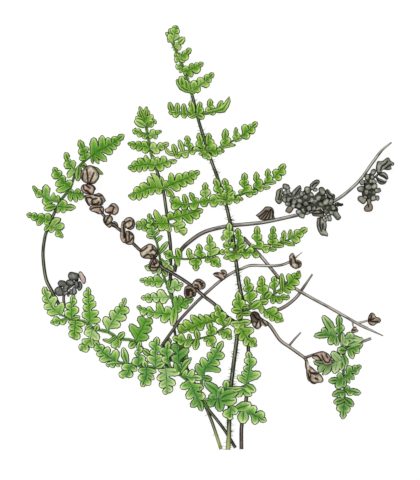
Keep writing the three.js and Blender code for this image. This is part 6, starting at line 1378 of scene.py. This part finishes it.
forkedBlades = [
    [1.3, 2.4, 0.1, [19, -41, 21.5, -40.5, 24.5, -40, 26.5, -40.7, 27.9, -42.4, 26.4, -43.8, 24.6, -43.2,
     23.7, -44.3, 22.2, -45.2, 20.8, -44.6, 19.7, -43.2], [22.2, -41.2, 21, -44.4], [23.5, -41.2, 23.8,
     -43.8], [24.8, -41.2, 26.3, -42.9]],
    [1.6, 2.8, -0.9, [18, -37.2, 19.5, -36.3, 21, -36, 22.9, -37, 23.8, -38.8, 25.5, -40.2, 24.7, -41.4,
     22.7, -41.2, 21.7, -42.3, 20, -41.8, 18.6, -42.2, 18.8, -40.2], [20, -37.5, 21.5, -39.5, 23, -40.3]],
    [3.2, 3.8, 0.65, [49, -58.5, 50.2, -57, 52.5, -56.2, 54.5, -55.8, 56.5, -56.5, 58.2, -57.8, 59.2, -60,
     59.5, -62, 58, -62.9, 56, -63, 55, -61.8, 54, -60.3, 52.5, -60.7, 50, -59.8], [50, -58.2, 51.5, -58,
     52.8, -58.8, 53.5, -60], [54.2, -58, 55.2, -60.2, 56.2, -61.3, 57.8, -61.4, 58.2, -60], [56.3, -57.5,
     57, -59]],
    [2.1, 3.6, 0.55, [48, -67.2, 49, -67, 51, -67.5, 53, -67, 54.5, -68.5, 55.2, -70.5, 54.2, -71.7, 52.2,
     -71.9, 50.5, -72.5, 48.8, -71.8, 47.7, -69.8], [48.5, -67.8, 48.5, -70.2, 49.8, -71.5, 51.2, -71.8],
     [51, -69.4, 52.2, -70]],
    [1.5, 2.6, 0.35, [46.2, -60, 47.5, -61, 48.2, -63, 49.8, -64.2, 51.5, -65.8, 53.2, -67, 50.8, -67.5,
     48.8, -67.5, 48, -69.2, 48.3, -71.2, 47.3, -70.5, 46.6, -68, 46.4, -64.5], [48, -65.8, 49, -66.8,
     51.5, -66.9], [47.5, -67.2, 47.8, -69.5]],
]
forkedFrond = {
    "name": "dead_frond_forked",
    "node": "dead_frond_forked",
    "slot": "dry_brown",
    "seed": 25,
    "look": {**brownLook, "highlightWidth": 0.6},
    "stalks": [
        [[[19.6, -38, 0.9], [24, -40.4, 0.9], [28.2, -43, 0.7], [33.4, -50.4, 0.6], [38, -53.8, 0.6], [43,
         -57.4, 0.7], [46.4, -60.2, 0.8], [46.8, -64, 1], [48.6, -68, 1.3]], 0.92, 0.8],
        [[[37.8, -53.6, 0.6], [40.4, -50.4, 0.8], [43.9, -46.6, 1]], 0.62, 0.4],
        [[[45.2, -59.4, 0.8], [47.4, -58.8, 1.3], [50.4, -57.6, 2.2]], 0.8, 0.7],
    ],
    "blades": forkedBlades,
}

diagonalBlades = [
    [1.9, 3.2, 0.2, [77.2, -40, 77.8, -38, 79, -36.7, 80.5, -37.2, 81.5, -38.8, 83, -39.2, 83.9, -40.5,
     83.2, -41.8, 81.8, -42.2, 80.5, -43.2, 78.8, -43.2, 77.4, -41.9], [77.8, -40.4, 78.8, -39.2, 78.9,
     -38.2], [78, -40.7, 80.3, -39.6], [78, -40.9, 80.5, -41.2, 82.2, -41.1]],
    [1.3, 2.2, 0.8, [69.2, -45, 70.2, -44, 71.5, -43.7, 71.8, -44.8, 72.7, -45.8, 71.5, -46.7, 69.8, -46.9,
     68.9, -46], [69.5, -45.5, 71, -45.5]],
]
diagonalFrond = {
    "name": "dead_frond_diagonal",
    "node": "dead_frond_diagonal",
    "slot": "dry_brown",
    "seed": 26,
    "look": {**brownLook, "highlightWidth": 0.66, "line": 0.4, "top": "#c4bcae"},
    "girth": 1.15,
    "taper": 0.6,
    "stalks": [
        [[[15.2, 0.8, 0.9], [19.5, -4, 0.7], [22.5, -7, 0.6], [27.8, -13.2, 0.6], [33, -19.4, 1.1], [37.5,
         -22.8, 1.4], [41.5, -25, 1.6], [44.5, -26.8, 1.75], [51, -30.4, 1.7], [57, -33.6, 1.8], [63, -37,
         1.8], [69.5, -40.7, 1.2], [73.5, -43, 0.8], [79, -45.6, 0.5], [85, -48.4, 0.4]], 0.78, 0.6],
        [[[69.6, -40.8, 1.2], [70, -43.4, 1.1], [70.6, -45, 1.1]], 0.5, 0.4],
        [[[72, -42, 1], [75, -41.4, 1.3], [79, -40.2, 1.8]], 0.55, 0.5],
    ],
    "blades": diagonalBlades,
}

shortStalk = {
    "name": "dead_stalk_short",
    "node": "dead_stalk_short",
    "slot": "dry_brown",
    "seed": 27,
    "look": {**brownLook, "highlightWidth": 0.6},
    "girth": 1.12,
    "taper": 0.35,
    "stalks": [
        [[[27.6, -36, 0.45], [32.4, -35.4, 0.4], [36.8, -33.2, 0.4], [41.8, -29, 0.4], [45.2, -24.2, 0.4],
         [49.7, -17.6, 0.4]], 0.85, 0.62],
    ],
}

for frond in (witheredPinna, curledFrond, beadedFrond, crossingFrond, forkedFrond, diagonalFrond, shortStalk):
    buildWithered(frond)
print("withered fronds built")


# Stage, light and camera

studio = {
    "camera": (0.0001, -0.00105, 1.0),
    "lens": 150,  # mm
    "sensor": 36,  # mm
    "floor": 1.6,  # half its width
    "glass": "#606060",
    "glow": 0.9,
    "sky": 0.85,
    "keyPlace": (-0.5, 0.55, 0.8),
    "keySize": 0.35,
    "keyPower": 3.2,  # W
}

form = bmesh.new()
bmesh.ops.create_grid(form, x_segments=1, y_segments=1, size=studio["floor"])
mesh = bpy.data.meshes.new("floor")
form.to_mesh(mesh)
form.free()
floor = bpy.data.objects.new("floor", mesh)
bpy.context.scene.collection.objects.link(floor)
material, tree = newMaterial("Opal glass of a light table")
skin = addNode(tree, "ShaderNodeBsdfPrincipled", Base_Color=linear(studio["glass"]), Roughness=0.9,
               Emission_Color=(1, 1, 1, 1), Emission_Strength=studio["glow"])
addNode(tree, "ShaderNodeOutputMaterial", Surface=skin.outputs["BSDF"])
mesh.materials.append(material)

world = bpy.data.worlds.new("studio")
world.use_nodes = True
world.node_tree.nodes["Background"].inputs["Color"].default_value = (1, 1, 1, 1)
world.node_tree.nodes["Background"].inputs["Strength"].default_value = studio["sky"]
bpy.context.scene.world = world


def addSoftLight(name, place, size, power):
    light = bpy.data.lights.new(name, "AREA")
    light.size = size
    light.energy = power
    lamp = bpy.data.objects.new(name, light)
    lamp.location = place
    lamp.rotation_euler = (-Vector(place)).to_track_quat("-Z", "Y").to_euler()
    bpy.context.scene.collection.objects.link(lamp)


addSoftLight("key_light", studio["keyPlace"], studio["keySize"], studio["keyPower"])

camera = bpy.data.cameras.new("camera")
camera.lens = studio["lens"]
camera.sensor_width = studio["sensor"]
cameraRig = bpy.data.objects.new("camera", camera)
cameraRig.location = studio["camera"]
bpy.context.scene.collection.objects.link(cameraRig)
bpy.context.scene.camera = cameraRig
bpy.context.scene.view_settings.view_transform = "Standard"
